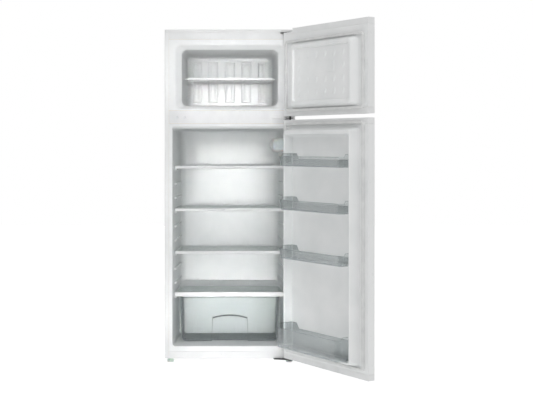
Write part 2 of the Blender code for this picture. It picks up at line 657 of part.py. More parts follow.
def make_liners(cabinet):
    """The two moulded inner boxes, with the freezer's cooling plate behind its back wall."""
    stations = freezer_stations()
    freezer = place("freezer_liner", liner_shell(stations, MULLION_TOP + GAP, RAIL_Z - GAP),
                    "white liner", cabinet)
    floor, ceiling = stations[-1][2], stations[-1][3]
    flutes = bmesh.new()
    for index in range(FLUTE_COUNT):
        middle = (index - (FLUTE_COUNT - 1) / 2) * FLUTE_PITCH
        rings = []
        for inset, depth in ((0.0, FREEZER_DEPTH + LINER_WALL / 2), (0.0, FREEZER_DEPTH - 0.001),
                             (FLUTE_PROUD, FREEZER_DEPTH - FLUTE_PROUD)):
            rings.append([Vector((middle + x, depth, z)) for x, z in (
                (inset - FLUTE_WIDTH / 2, floor + FLUTE_MARGIN + inset),
                (FLUTE_WIDTH / 2 - inset, floor + FLUTE_MARGIN + inset),
                (FLUTE_WIDTH / 2 - inset, ceiling - FLUTE_MARGIN - inset),
                (inset - FLUTE_WIDTH / 2, ceiling - FLUTE_MARGIN - inset))])
        flute = loft(rings)
        add_mesh(flutes, flute)
    join(freezer, flutes, cabinet)

    plate_y = FREEZER_DEPTH + LINER_WALL + GAP
    place("evaporator_plate", block((EVAPORATOR_MARGIN - FREEZER_BACK_HALF, plate_y,
                                     floor + EVAPORATOR_MARGIN),
                                    (FREEZER_BACK_HALF - EVAPORATOR_MARGIN, plate_y + EVAPORATOR,
                                     ceiling - EVAPORATOR_MARGIN)), "aluminium sheet", cabinet)

    stations = fridge_stations()
    fridge = place("fridge_liner", liner_shell(stations, BEAM_TOP + GAP, MULLION_BOTTOM - GAP),
                   "white liner", cabinet)
    rails = bmesh.new()
    for z in rail_heights():
        back = RAIL_BACK if z - RAIL_HEIGHT > HUMP_Z + HUMP_RISE else HUMP_FRONT - RAIL_PROUD
        for side in (-1, 1):
            outline = []
            for depth, inward in ((RAIL_FRONT, 0.0), (RAIL_FRONT + RAIL_PROUD, RAIL_PROUD),
                                  (back, RAIL_PROUD), (back, 0.0)):
                half = wall_half_at(stations, depth) - inward
                outline.append(Vector((side * (half + (LINER_WALL / 2 if inward == 0.0 else 0.0)),
                                       depth, z - RAIL_HEIGHT)))
            add_mesh(rails, prism(outline, (0.0, 0.0, RAIL_HEIGHT)))
    join(fridge, rails, cabinet)


def add_mesh(bm, other):
    """Add another mesh to one, as separate bodies."""
    mesh = bpy.data.meshes.new("part of a tool")
    other.to_mesh(mesh)
    other.free()
    bm.from_mesh(mesh)
    bpy.data.meshes.remove(mesh)


def rail_heights():
    """Top of each pair of shelf rails, from the lid's rail up to the topmost that a shelf needs."""
    first = FRIDGE_SILL_Z + RAIL_FIRST
    spaces = ceil((FRIDGE_CEILING_Z - first) / RAIL_PITCH)
    return [first + RAIL_PITCH * index for index in range(shelf_rail(spaces, SHELF_COUNT) + 1)]


def shelf_rail(spaces, number):
    """Number of the rail that carries a shelf, counting shelves from 1 at the lowest."""
    return round(spaces * number / (SHELF_COUNT + 1))


# ---- hinges, feet and the machine compartment ----------------------------------------

def hinge_plate(name, outline, bottom, pin_bottom, pin_top, cabinet):
    """Flat black plate with the hinge pin standing through it."""
    plate = place(name, prism([Vector((x, y, bottom)) for x, y in outline], (0.0, 0.0, HINGE_PLATE)),
                  "black enamelled steel", cabinet)
    join(plate, rod((HINGE_X, HINGE_Y, pin_bottom), (HINGE_X, HINGE_Y, pin_top), PIN_RADIUS), cabinet)
    return plate


def pin_end(start_angle, end_angle, steps=6):
    """Round end of a hinge plate about the pin."""
    radius = HINGE_EYE
    angles = [start_angle + (end_angle - start_angle) * step / steps for step in range(steps + 1)]
    return [(HINGE_X + radius * cos(angle), HINGE_Y + radius * sin(angle)) for angle in angles]


def make_hinges(cabinet):
    """Top, middle and bottom hinge, with the caps over the spare screw holes at the left."""
    right = HALF - FLANGE_WIDTH - 2 * GAP
    top_outline = [(TOP_HINGE_LEFT, HINGE_TUCK), (TOP_HINGE_LEFT, -HINGE_NECK)]
    top_outline += pin_end(pi, 2 * pi)
    top_outline += [(HINGE_X + HINGE_EYE, -HINGE_NECK), (right, -HINGE_NECK), (right, HINGE_TUCK)]
    hinge_plate("top_hinge", top_outline, TOP_PLATE_Z, FREEZER_DOOR_TOP - CAP_HEIGHT + 0.002,
                TOP_PLATE_Z + HINGE_PLATE, cabinet)

    plate_z = GAP_MIDDLE - HINGE_PLATE / 2
    middle_outline = [(MIDDLE_HINGE_LEFT, -GAP), (MIDDLE_HINGE_LEFT, -HINGE_ARM)]
    middle_outline += pin_end(pi, 2.2 * pi)
    middle_outline += [(right, -HINGE_ARM), (right, -GAP)]
    middle = hinge_plate("middle_hinge", middle_outline, plate_z, FRIDGE_DOOR_TOP - PIN_REACH,
                         FREEZER_DOOR_BOTTOM + PIN_REACH, cabinet)
    join(middle, block((MIDDLE_HINGE_LEFT, -GAP - HINGE_PLATE, SCREW_Z - FLANGE_HALF_HEIGHT),
                       (HINGE_X - FLANGE_PIN_GAP, -GAP, SCREW_Z + FLANGE_HALF_HEIGHT)), cabinet)
    screws = bmesh.new()
    for x in CAP_SCREWS:
        rod((-x, -GAP - HINGE_PLATE / 2, SCREW_Z), (-x, -SCREW_HEAD, SCREW_Z), SCREW_HEAD,
            steps=8, bm=screws)
    join(middle, screws, cabinet)

    bottom_z = FOOT_HEIGHT - GAP - HINGE_PLATE
    bottom_outline = [(BOTTOM_HINGE_LEFT, BOTTOM_HINGE_TUCK), (BOTTOM_HINGE_LEFT, DOOR_BACK)]
    bottom_outline += pin_end(pi, 2 * pi) + [(HINGE_X + HINGE_EYE, BOTTOM_HINGE_TUCK)]
    hinge_plate("bottom_hinge", bottom_outline, bottom_z, bottom_z,
                DOOR_BOTTOM + PIN_REACH, cabinet)

    for name, x in zip(("left_screw_cap", "right_screw_cap"), CAP_SCREWS):
        chamfer = 0.002
        profile = ((SCREW_CAP_RADIUS, -GAP), (SCREW_CAP_RADIUS, -0.4 * chamfer),
                   (SCREW_CAP_RADIUS - chamfer, -chamfer))
        rings = []
        for radius, depth in profile:
            angles = [2 * pi * step / ROUND_STEPS for step in range(ROUND_STEPS)]
            rings.append([Vector((x + radius * cos(angle), depth, SCREW_Z + radius * sin(angle)))
                          for angle in angles])
        place(name, loft(rings), "white moulded plastic", cabinet)


def make_front_foot(name, side, cabinet):
    """Levelling foot with its stud, on an empty that stands on the stud's axis."""
    x = side * (HALF - FOOT_INSET)
    turning = Group(f"{name}_axis", (x, FOOT_Y, 0.0), cabinet)
    profile = [(FOOT_RADIUS - 0.0015, 0.0), (FOOT_RADIUS, 0.0015), (FOOT_RADIUS, 0.012),
               (FOOT_RADIUS - 0.004, FOOT_HEIGHT - 2 * GAP - 0.003),
               (STUD_RADIUS + 0.003, FOOT_HEIGHT - GAP),
               (STUD_RADIUS, FOOT_HEIGHT - GAP), (STUD_RADIUS, BEAM_TOP - 0.010)]
    place(name, turned(profile, (x, FOOT_Y)), "milky plastic", turning)


def make_machine_compartment(cabinet):
    """Compressor on its tray, its electrics, the condenser behind and the rear feet."""
    tray_back = CABINET_DEPTH - SHEET - GAP - 0.001
    tray_path = [(TRAY_FRONT, FOOT_HEIGHT + TRAY_LIP), (TRAY_FRONT, FOOT_HEIGHT + GAP),
                 (tray_back, FOOT_HEIGHT + GAP), (tray_back, FOOT_HEIGHT + TRAY_LIP)]
    thickness = 2 * SHEET
    outline = [Vector((-INNER_HALF, y, z)) for y, z in bent_strip(tray_path, thickness)]
    place("compressor_tray", prism(outline, (2 * INNER_HALF, 0.0, 0.0)), "galvanised sheet", cabinet)
    tray_top = FOOT_HEIGHT + GAP + thickness

    for name, side in (("left_rear_foot", -1), ("right_rear_foot", 1)):
        x = side * (HALF - REAR_FOOT_INSET)
        y = tray_back - REAR_FOOT_BACK
        profile = [(REAR_FOOT_RADIUS - 0.0015, 0.0), (REAR_FOOT_RADIUS, 0.0015),
                   (REAR_FOOT_RADIUS, 0.010), (REAR_FOOT_RADIUS - 0.003, FOOT_HEIGHT)]
        place(name, turned(profile, (x, y), steps=12), "black plastic", cabinet)

    bottom = tray_top + COMPRESSOR_RISE
    waist = bottom + COMPRESSOR_HEIGHT * 0.55
    top = bottom + COMPRESSOR_HEIGHT
    full = COMPRESSOR_RADIUS
    profile = [(full * 0.55, bottom), (full * 0.85, bottom + 0.012), (full * 0.96, bottom + 0.035),
               (full * 0.96, waist - 0.004), (full, waist - 0.003), (full, waist + 0.003),
               (full * 0.94, waist + 0.004), (full * 0.90, top - 0.035), (full * 0.72, top - 0.012),
               (full * 0.40, top)]
    compressor = place("compressor", turned(profile, (COMPRESSOR_X, COMPRESSOR_Y), steps=20,
                                            stretch=COMPRESSOR_STRETCH), "black enamelled steel", cabinet)
    legs = block((COMPRESSOR_X - COMPRESSOR_LEG, COMPRESSOR_Y + MOUNT_FRONT - 0.010, bottom + 0.001),
                 (COMPRESSOR_X + COMPRESSOR_LEG, COMPRESSOR_Y + MOUNT_BACK + 0.010, bottom + 0.004))
    join(compressor, legs, cabinet)
    mounts = bmesh.new()
    for side, forward in ((-1, MOUNT_FRONT), (1, MOUNT_FRONT), (-1, MOUNT_BACK), (1, MOUNT_BACK)):
        centre = (COMPRESSOR_X + side * COMPRESSOR_MOUNT, COMPRESSOR_Y + forward)
        profile = [(0.011, tray_top + GAP), (0.008, tray_top + 0.009), (0.011, bottom + 0.002)]
        add_mesh(mounts, turned(profile, centre, steps=8))
    join(compressor, mounts, cabinet)

    relay_x = COMPRESSOR_X + full * COMPRESSOR_STRETCH + 0.004
    relay = block((relay_x, COMPRESSOR_Y - RELAY_HALF, bottom + RELAY_BOTTOM),
                  (relay_x + RELAY_LENGTH, COMPRESSOR_Y + RELAY_HALF, bottom + RELAY_TOP))
    bmesh.ops.bevel(relay, geom=relay.edges, offset=0.004, segments=1, affect="EDGES",
                    profile=0.5, material=-1)
    place("relay_cover", relay, "black plastic", cabinet)
    gland_x = relay_x + RELAY_LENGTH / 2 - 0.0005
    gland_z = bottom + 0.055
    gland_y = COMPRESSOR_Y + RELAY_HALF + GAP
    place("cord_gland", rod((gland_x, gland_y, gland_z), (gland_x, gland_y + 0.016, gland_z),
                            0.009, end_radius=0.006, steps=12), "black plastic", cabinet)

    drier_x = COMPRESSOR_X - full * COMPRESSOR_STRETCH - DRIER_GAP
    profile = [(0.0025, bottom), (0.0025, bottom + 0.012), (DRIER_RADIUS, bottom + 0.020),
               (DRIER_RADIUS, bottom + 0.105), (0.003, bottom + 0.115), (0.003, bottom + 0.135)]
    place("filter_drier", turned(profile, (drier_x, COMPRESSOR_Y), steps=12), "copper", cabinet)

    pan_bottom = top + 0.004
    pan_front = BAY_FRONT + 0.010
    pan_back = CABINET_DEPTH - 0.006
    rings = []
    for inset, z in ((0.004, pan_bottom + 0.0015), (0.0015, pan_bottom + PAN_HEIGHT),
                     (0.0, pan_bottom + PAN_HEIGHT), (0.003, pan_bottom)):
        rings.append([Vector((COMPRESSOR_X + x, y, z)) for x, y in (
            (inset - PAN_HALF, pan_front + inset), (PAN_HALF - inset, pan_front + inset),
            (PAN_HALF - inset, pan_back - inset), (inset - PAN_HALF, pan_back - inset))])
    place("drip_tray", loft(rings), "black plastic", cabinet)


def make_condenser(cabinet):
    """Serpentine tube on the back, held by two upright brackets."""
    bottom = FOOT_HEIGHT + BAY_HEIGHT + CONDENSER_RISE
    top = CABINET_HEIGHT - TOP_COVER_HEIGHT - CONDENSER_DROP
    runs = int((top - bottom) / CONDENSER_PITCH) + 1
    curve = bpy.data.curves.new("condenser", "CURVE")
    curve.dimensions = "3D"
    curve.bevel_depth = CONDENSER_TUBE
    curve.bevel_resolution = 2
    curve.use_fill_caps = True
    points = []
    bend = CONDENSER_PITCH / 2
    for run in range(runs):
        z = bottom + run * CONDENSER_PITCH
        side = 1 if run % 2 == 0 else -1
        points.append((-side * (CONDENSER_HALF - bend), z))
        points.append((side * (CONDENSER_HALF - bend), z))
        if run < runs - 1:
            for step in (1, 2, 3):
                angle = pi * step / 4
                points.append((side * (CONDENSER_HALF - bend + bend * sin(angle)),
                               z + bend - bend * cos(angle)))
    spline = curve.splines.new("POLY")
    spline.points.add(len(points) - 1)
    for point, (x, z) in zip(spline.points, points):
        point.co = (x, CONDENSER_Y, z, 1.0)
    made = bpy.data.objects.new("condenser", curve)
    curve.materials.append(material("black enamelled steel"))
    bpy.context.scene.collection.objects.link(made)
    made.parent = cabinet.empty

    near = CABINET_DEPTH + GAP
    seat = CONDENSER_Y - CONDENSER_TUBE - GAP
    far = CONDENSER_Y + 2 * CONDENSER_TUBE
    low = bottom - BRACKET_REACH
    high = bottom + (runs - 1) * CONDENSER_PITCH + BRACKET_REACH
    lip = BRACKET_LIP
    outline = ((near, low), (far, low), (far, low + lip), (seat, low + lip),
               (seat, high - lip), (far, high - lip), (far, high), (near, high))
    for name, x in zip(("left_condenser_bracket", "right_condenser_bracket"), BRACKETS):
        place(name, prism([Vector((x, y, z)) for y, z in outline], (BRACKET_WIDTH, 0.0, 0.0)),
              "black enamelled steel", cabinet)


# ---- fittings inside the cabinet -----------------------------------------------------

def make_thermostat(cabinet):
    """Housing on the right wall with the lamp's lens in front and the setting knob at its left."""
    stations = fridge_stations()
    top = FRIDGE_CEILING_Z - THERMOSTAT_DROP
    bottom = top - THERMOSTAT_HEIGHT
    left = wall_half_at(stations, THERMOSTAT_FRONT) - THERMOSTAT_PROUD
    steps = 5

    def outline(depth, shrink=0.0):
        right = wall_half_at(stations, depth) - GAP
        radius = THERMOSTAT_ROUND
        ring = [Vector((right, depth, bottom + shrink)), Vector((right, depth, top - shrink))]
        for centre_z, start in ((top - shrink - radius, pi / 2), (bottom + shrink + radius, pi)):
            for step in range(steps + 1):
                angle = start + pi / 2 * step / steps
                ring.append(Vector((left + shrink + radius + radius * cos(angle), depth,
                                    centre_z + radius * sin(angle))))
        return ring

    place("thermostat_housing", loft([outline(THERMOSTAT_FRONT), outline(THERMOSTAT_BACK)]),
          "white moulded plastic", cabinet)
    lens_front = THERMOSTAT_FRONT - LAMP_COVER_DEPTH
    place("lamp_cover", loft([outline(lens_front, 0.006), outline(lens_front + 0.008, 0.001),
                              outline(THERMOSTAT_FRONT - GAP, 0.001)]), "milky plastic", cabinet)

    knob_y = (THERMOSTAT_FRONT + THERMOSTAT_BACK) / 2
    knob_z = (top + bottom) / 2
    turning = Group("thermostat_knob_axis", (left, knob_y, knob_z), cabinet)
    knob = rod((left - GAP, knob_y, knob_z), (left - KNOB_PROUD, knob_y, knob_z), KNOB_RADIUS,
               end_radius=KNOB_RADIUS - 0.002)
    body = place("thermostat_knob", knob, "white moulded plastic", turning)
    pointer = block((left - KNOB_PROUD - 0.0015, knob_y - 0.0015, knob_z),
                    (left - KNOB_PROUD + 0.001, knob_y + 0.0015, knob_z + KNOB_RADIUS - 0.003))
    join(body, pointer, turning)


def shelf_outline(front, back, inset_side, inset_front, inset_back, z, stations):
    """Outline of a shelf that follows the tapering side walls, at height z."""
    front_half = wall_half_at(stations, front) - SHELF_SIDE_GAP - inset_side
    back_half = wall_half_at(stations, back) - SHELF_SIDE_GAP - inset_side
    return [Vector((-front_half, front + inset_front, z)), Vector((front_half, front + inset_front, z)),
            Vector((back_half, back - inset_back, z)), Vector((-back_half, back - inset_back, z))]


def make_glass_shelf(name, front, back, bottom, thickness, cabinet):
    """Sliding glass shelf: a moulded frame with a ledge, and the glass let into it."""
    sliding = Group(f"{name}_slide", (0.0, front, bottom), cabinet)
    stations = fridge_stations()
    top = bottom + thickness
    glass_bottom = top - GLASS - GLASS_SUNK
    side_bottom = glass_bottom - LEDGE_THICKNESS

    def ring(inset_side, inset_front, inset_back, z):
        return shelf_outline(front, back, inset_side, inset_front, inset_back, z, stations)

    side, bar, rear = SHELF_SIDE_BAR, SHELF_FRONT_BAR, SHELF_REAR_BAR
    ledge = SHELF_LEDGE
    place(f"{name}_frame", loft([
        ring(0.0, 0.0, 0.0, bottom), ring(0.0, 0.0, 0.0, top), ring(side, bar, rear, top),
        ring(side, bar, rear, glass_bottom), ring(side + ledge, bar + ledge, rear + ledge, glass_bottom),
        ring(side + ledge, bar + ledge, rear + ledge, side_bottom),
        ring(side, bar, rear, bottom)], closed=True), "white moulded plastic", sliding)
    pane = (side + GLASS_FIT, bar + GLASS_FIT, rear + GLASS_FIT)
    place(f"{name}_glass", loft([ring(*pane, glass_bottom + GAP), ring(*pane, glass_bottom + GLASS)]),
          "clear glass", sliding)


def make_shelves(cabinet):
    """Three glass shelves, the glass lid over the drawer, and the freezer's wire shelf."""
    heights = rail_heights()
    spaces = ceil((FRIDGE_CEILING_Z - heights[0]) / RAIL_PITCH)
    for number in range(1, SHELF_COUNT + 1):
        rail = heights[shelf_rail(spaces, number)]
        make_glass_shelf(f"shelf_{SHELF_COUNT + 1 - number}", SHELF_FRONT, SHELF_BACK, rail + GAP,
                         SHELF_THICKNESS, cabinet)
    make_glass_shelf("drawer_lid", SHELF_FRONT, HUMP_FRONT - LID_BACK_GAP, heights[0] + GAP,
                     LID_THICKNESS, cabinet)

    bottom = FREEZER_SILL_Z + FREEZER_SHELF_HEIGHT
    sliding = Group("freezer_shelf_slide", (0.0, FREEZER_SHELF_FRONT, bottom), cabinet)
    stations = freezer_stations()
    top = bottom + FREEZER_SHELF_THICKNESS
    front, back = FREEZER_SHELF_FRONT, FREEZER_SHELF_BACK
    half = wall_half_at(stations, back) - FREEZER_SHELF_GAP

    def ring(inset, bar, z):
        return [Vector((-half + inset, front + bar, z)), Vector((half - inset, front + bar, z)),
                Vector((half - inset, back - inset, z)), Vector((inset - half, back - inset, z))]

    frame = place("freezer_shelf", loft([ring(0.0, 0.0, bottom), ring(0.0, 0.0, top),
                                         ring(0.006, 0.010, top), ring(0.006, 0.010, bottom)],
                                        closed=True), "white moulded plastic", sliding)
    wires = bmesh.new()
    for index in range(WIRE_COUNT):
        x = (2 * (index + 1) / (WIRE_COUNT + 1) - 1) * (half - 0.006)
        rod((x, front + 0.006, bottom + 0.004), (x, back - 0.003, bottom + 0.004), WIRE_RADIUS, steps=6,
            bm=wires)
    join(frame, wires, sliding)


def make_drawer(cabinet):
    """Clear crisper drawer with an arched finger recess in its front."""
    bottom = FRIDGE_FLOOR_Z + DRAWER_FLOOR_GAP
    top = bottom + DRAWER_HEIGHT
    sliding = Group("crisper_drawer_slide", (0.0, DRAWER_FRONT, bottom), cabinet)
    wall = DRAWER_WALL
    lip = 0.006
    half, front, back, radius = DRAWER_HALF, DRAWER_FRONT, DRAWER_BACK, DRAWER_CORNER

    def ring(inset, z):
        return plan_ring(half - inset, front + inset, back - inset, radius, z, steps=3)

    draft = DRAWER_DRAFT
    drawer = place("crisper_drawer", loft([
        ring(draft + lip + wall, bottom + wall), ring(draft + wall, bottom + 0.012),
        ring(wall, top), ring(0.0, top), ring(draft, bottom + 0.010),
        ring(draft + lip, bottom)]), "clear plastic", sliding)

    def arch(shrink, near, far, base):
        shoulder = bottom + GRIP_SHOULDER - shrink
        crown = bottom + GRIP_HEIGHT - shrink
        half_width = GRIP_WIDTH / 2 - shrink
        steps = 8
        outline = [Vector((half_width + GRIP_SPLAY, near, base))]
        for step in range(steps + 1):
            share = 1 - 2 * step / steps
            outline.append(Vector((half_width * share, near,
                                   shoulder + (crown - shoulder) * (1 - share * share))))
        outline.append(Vector((-half_width - GRIP_SPLAY, near, base)))
        return prism(outline, (0.0, far - near, 0.0))

    inside = front + GRIP_DEPTH
    join(drawer, arch(0.0, front + draft + wall / 2, inside, bottom + wall / 2), sliding)
    cut(drawer, arch(wall, front - PAST, inside - wall, bottom - PAST), sliding)


# ---- doors ---------------------------------------------------------------------------

def fridge_door_rings(flange_bottom, flange_top, behind):
    """Inner face of the fridge door: flange, dyke all round and recess, or a face behind it."""
    foot = 0.002
    return [
        rectangle_ring(INNER_HALF, flange_bottom, flange_top, GAP, DOOR_BACK - behind),
        rectangle_ring(DYKE_BASE - behind, DYKE_CREST_BOTTOM - DYKE_SLOPE + behind,
                       DYKE_CREST_TOP + DYKE_SLOPE - behind, DYKE_CORNER, DOOR_BACK - behind),
        rectangle_ring(DYKE_OUTER - behind, DYKE_CREST_BOTTOM + behind, DYKE_CREST_TOP - behind,
                       DYKE_CORNER, DYKE_CREST_Y - behind),
        rectangle_ring(DYKE_INNER + behind, DYKE_CREST_BOTTOM + DYKE_BOTTOM_WIDTH - behind,
                       DYKE_CREST_TOP - DYKE_TOP_WIDTH + behind, DYKE_INNER_CORNER, DYKE_CREST_Y - behind),
        rectangle_ring(DYKE_FOOT + behind, DYKE_CREST_BOTTOM + DYKE_BOTTOM_WIDTH + foot - behind,
                       DYKE_CREST_TOP - DYKE_TOP_WIDTH - DYKE_SLOPE + behind,
                       DYKE_INNER_CORNER, RECESS_Y - behind),
    ]


def freezer_door_rings(flange_bottom, flange_top, behind):
    """Inner face of the freezer door: flange, sloping plateau and its shallow recess."""
    low = FREEZER_SILL_Z + PLATEAU_MARGIN
    high = FREEZER_TOP_Z - PLATEAU_MARGIN
    crest_y = DOOR_BACK + PLATEAU_HEIGHT
    slope = PLATEAU_SLOPE
    rim = PLATEAU_RIM
    return [
        rectangle_ring(INNER_HALF, flange_bottom, flange_top, GAP, DOOR_BACK - behind),
        rectangle_ring(PLATEAU_BASE - behind, low - slope + behind, high + slope - behind, 0.024,
                       DOOR_BACK - behind),
        rectangle_ring(PLATEAU_CREST - behind, low + behind, high - behind, 0.018, crest_y - behind),
        rectangle_ring(PLATEAU_CREST - rim + behind, low + rim - behind, high - rim + behind, 0.012,
                       crest_y - behind),
        rectangle_ring(PLATEAU_CREST - rim - PLATEAU_EDGE + behind, low + rim + PLATEAU_EDGE - behind,
                       high - rim - PLATEAU_EDGE + behind, 0.010, crest_y - PLATEAU_RECESS - behind),
    ]


def end_cap(name, low, high, hinge):
    """Moulded end of a door, before its pocket and pin hole are cut."""
    path = [(-HALF, DOOR_BACK)]
    path += rounded_path((-HALF, DOOR_BACK), (-HALF, SKIN_Y), (HALF, SKIN_Y), DOOR_CORNER)
    path += rounded_path((-HALF, SKIN_Y), (HALF, SKIN_Y), (HALF, DOOR_BACK), DOOR_CORNER)
    path += [(HALF, DOOR_BACK)]
    return place(name, prism([Vector((x, y, low)) for x, y in path], (0.0, 0.0, high - low)),
                 "white moulded plastic", hinge)


def finish_cap(cap, outer_z, up, hinge, grip, pin_depth=PIN_REACH + 0.001):
    """Cut a cap's pocket towards the foam, its pin hole and, if it has one, its grip recess."""
    wall = CAP_WALL
    pocket_left = -HALF + GRIP_RECESS_INSET + GRIP_RECESS_WIDTH + wall if grip else -HALF + 2 * wall
    inner_z = outer_z + up * (CAP_HEIGHT + 0.001)
    pocket_z = outer_z + up * wall
    cut(cap, block((pocket_left, SKIN_Y + wall, min(inner_z, pocket_z)),
                   (HINGE_X - CAP_HINGE_BLOCK, DOOR_BACK - wall, max(inner_z, pocket_z))), hinge)
    cut(cap, rod((HINGE_X, HINGE_Y, outer_z - up * 0.005),
                 (HINGE_X, HINGE_Y, outer_z + up * pin_depth),
                 PIN_RADIUS + PIN_CLEARANCE), hinge)
    if grip:
        ends = sorted((outer_z - up * 0.005, outer_z + up * GRIP_RECESS_HEIGHT))
        grip_left = -HALF + GRIP_RECESS_INSET
        grip_front = SKIN_Y + wall
        cut(cap, block((grip_left, grip_front, ends[0]),
                       (grip_left + GRIP_RECESS_WIDTH, grip_front + GRIP_RECESS_DEPTH, ends[1])),
            hinge)


def make_door(name, bottom, top, opening, face_rings, cabinet):
    """Door on its hinge pins: skin, end caps, foam, liner and magnetic gasket."""
    hinge = Group(f"{name}_hinge", (HINGE_X, HINGE_Y, 0.0), cabinet, REST_ANGLE)
    low = bottom + CAP_HEIGHT + GAP
    high = top - CAP_HEIGHT - GAP
    path = [(-HALF, DOOR_BACK)]
    path += rounded_path((-HALF, DOOR_BACK), (-HALF, SKIN_Y), (HALF, SKIN_Y), DOOR_CORNER)
    path += rounded_path((-HALF, SKIN_Y), (HALF, SKIN_Y), (HALF, DOOR_BACK), DOOR_CORNER)
    path += [(HALF, DOOR_BACK)]
    outline = [Vector((x, y, low)) for x, y in bent_strip(path, SHEET)]
    place(f"{name}_skin", prism(outline, (0.0, 0.0, high - low)), "white enamelled steel", hinge)
    top_cap = end_cap(f"{name}_top_cap", top - CAP_HEIGHT, top, hinge)
    bottom_cap = end_cap(f"{name}_bottom_cap", bottom, bottom + CAP_HEIGHT, hinge)

    front = face_rings(low, high, 0.0)
    back = face_rings(low, high, DOOR_LINER)
    place(f"{name}_liner", loft(back[::-1] + front), "white liner", hinge)
    inside = SKIN_Y + SHEET + GAP
    rings = face_rings(low, high, DOOR_LINER + GAP)
    block_ring = rectangle_ring(INNER_HALF - DOOR_CORNER, low, high, GAP, inside)
    shoulder_ring = rectangle_ring(INNER_HALF, low, high, GAP, inside + DOOR_CORNER)
    place(f"{name}_foam", loft([block_ring, shoulder_ring, *rings]), "insulating foam", hinge)

    outer_low, outer_high = opening[0] - GASKET_MARGIN, opening[1] + GASKET_MARGIN
    width = GASKET_OUTER - GASKET_INNER
    gasket = []
    for inset, y in ((0.0, DOOR_BACK + GAP), (0.0, GASKET_FRONT - 0.004), (0.003, GASKET_FRONT),
                     (width - 0.002, GASKET_FRONT), (width, DOOR_BACK + GAP)):
        gasket.append(rectangle_ring(GASKET_OUTER - inset, outer_low + inset, outer_high - inset,
                                     GASKET_CORNER - inset, y))
    place(f"{name}_gasket", loft(gasket, closed=True), "pale gasket rubber", hinge)
    return hinge, top_cap, bottom_cap


def make_rack(name, floor, height, front, door):
    """Clear door rack: open trough with ends that stand higher than its front."""
    sliding = Group(f"{name}_lift", (0.0, RECESS_Y, floor), door)
    back = RECESS_Y + GAP
    front_z = floor + height
    end_z = front_z + RACK_END_RISE
    rear_z = front_z - RACK_REAR_DROP
    steps = 4

    def ring(inset, heights):
        half = RACK_HALF - inset
        radius = RACK_CORNER - inset
        near = back + inset
        far = front - inset
        high_end, low_end = (RACK_HALF - inward for inward in RACK_SHOULDER)
        points = [(-half, near, end_z), (-high_end, near, end_z), (-low_end, near, rear_z),
                  (low_end, near, rear_z), (high_end, near, end_z), (half, near, end_z)]
        for centre_x, start in ((half - radius, 0.0), (radius - half, pi / 2)):
            for step in range(steps + 1):
                angle = start + pi / 2 * step / steps
                at_end = min(step, steps - step) == 0 and abs(sin(angle)) < 0.5
                points.append((centre_x + radius * cos(angle), far - radius + radius * sin(angle),
                               end_z if at_end else front_z))
        return [Vector((x, y, z if heights is None else heights)) for x, y, z in points]

    wall = RACK_WALL
    draft = RACK_DRAFT
    place(name, loft([ring(wall + draft, floor + wall), ring(wall, None), ring(0.0, None),
                      ring(draft, floor)]), "clear plastic", sliding)


def make_doors(cabinet):
    """Both doors with their racks."""
    hinge, top_cap, bottom_cap = make_door("fridge_door", DOOR_BOTTOM, FRIDGE_DOOR_TOP,
                                           (FRIDGE_SILL_Z, FRIDGE_TOP_Z), fridge_door_rings, cabinet)
    finish_cap(top_cap, FRIDGE_DOOR_TOP, -1, hinge, grip=True)
    finish_cap(bottom_cap, DOOR_BOTTOM, 1, hinge, grip=False)
    recess_top = DYKE_CREST_TOP - DYKE_TOP_WIDTH
    for index, drop in enumerate(RACK_DROPS):
        make_rack(f"door_rack_{index + 1}", recess_top - drop, RACK_HEIGHT, RACK_FRONT, hinge)
    bottle_floor = DYKE_CREST_BOTTOM + DYKE_BOTTOM_WIDTH + 2 * BOTTLE_RACK_RISE
    make_rack("bottle_rack", bottle_floor, BOTTLE_RACK_HEIGHT, BOTTLE_RACK_FRONT, hinge)

    hinge, top_cap, bottom_cap = make_door("freezer_door", FREEZER_DOOR_BOTTOM, FREEZER_DOOR_TOP,
                                           (FREEZER_SILL_Z, FREEZER_TOP_Z), freezer_door_rings, cabinet)
    finish_cap(top_cap, FREEZER_DOOR_TOP, -1, hinge, grip=False, pin_depth=CAP_HEIGHT - 0.001)
    finish_cap(bottom_cap, FREEZER_DOOR_BOTTOM, 1, hinge, grip=True)
    cut(top_cap, block((TOP_HINGE_LEFT, SKIN_Y - PAST, TOP_PLATE_Z - 2 * GAP),
                       (HALF + PAST, DOOR_BACK + PAST, CABINET_HEIGHT)), hinge)


def middle_of_footprint():
    """Middle of the whole object's footprint at floor height, as it stands with its doors open."""
    bpy.context.view_layer.update()
    depsgraph = bpy.context.evaluated_depsgraph_get()
    low = Vector((1e9, 1e9, 1e9))
    high = -low
    for piece in bpy.context.scene.objects:
        if piece.type in {"MESH", "CURVE"} and not piece.hide_render:
            made = piece.evaluated_get(depsgraph)
            mesh = made.to_mesh()
            for vertex in mesh.vertices:
                place_now = made.matrix_world @ vertex.co
                low = Vector(map(min, low, place_now))
                high = Vector(map(max, high, place_now))
            made.to_mesh_clear()
    return Vector(((low.x + high.x) / 2, (low.y + high.y) / 2, low.z))


def main():
    for piece in list(bpy.data.objects):
        bpy.data.objects.remove(piece, do_unlink=True)
    cabinet = Group("refrigerator")
    make_casing(cabinet)
    make_liners(cabinet)
    make_hinges(cabinet)
    make_front_foot("left_front_foot", -1, cabinet)
    make_front_foot("right_front_foot", 1, cabinet)
    make_machine_compartment(cabinet)
    make_condenser(cabinet)
    make_thermostat(cabinet)
    make_shelves(cabinet)
    make_drawer(cabinet)
    make_doors(cabinet)
    cabinet.empty.location = -middle_of_footprint()


main()
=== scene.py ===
"""Looks of the top freezer refrigerator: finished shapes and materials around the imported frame."""
import json
from math import cos, pi, radians, sin

import bmesh
import bpy
from mathutils import Matrix, Vector


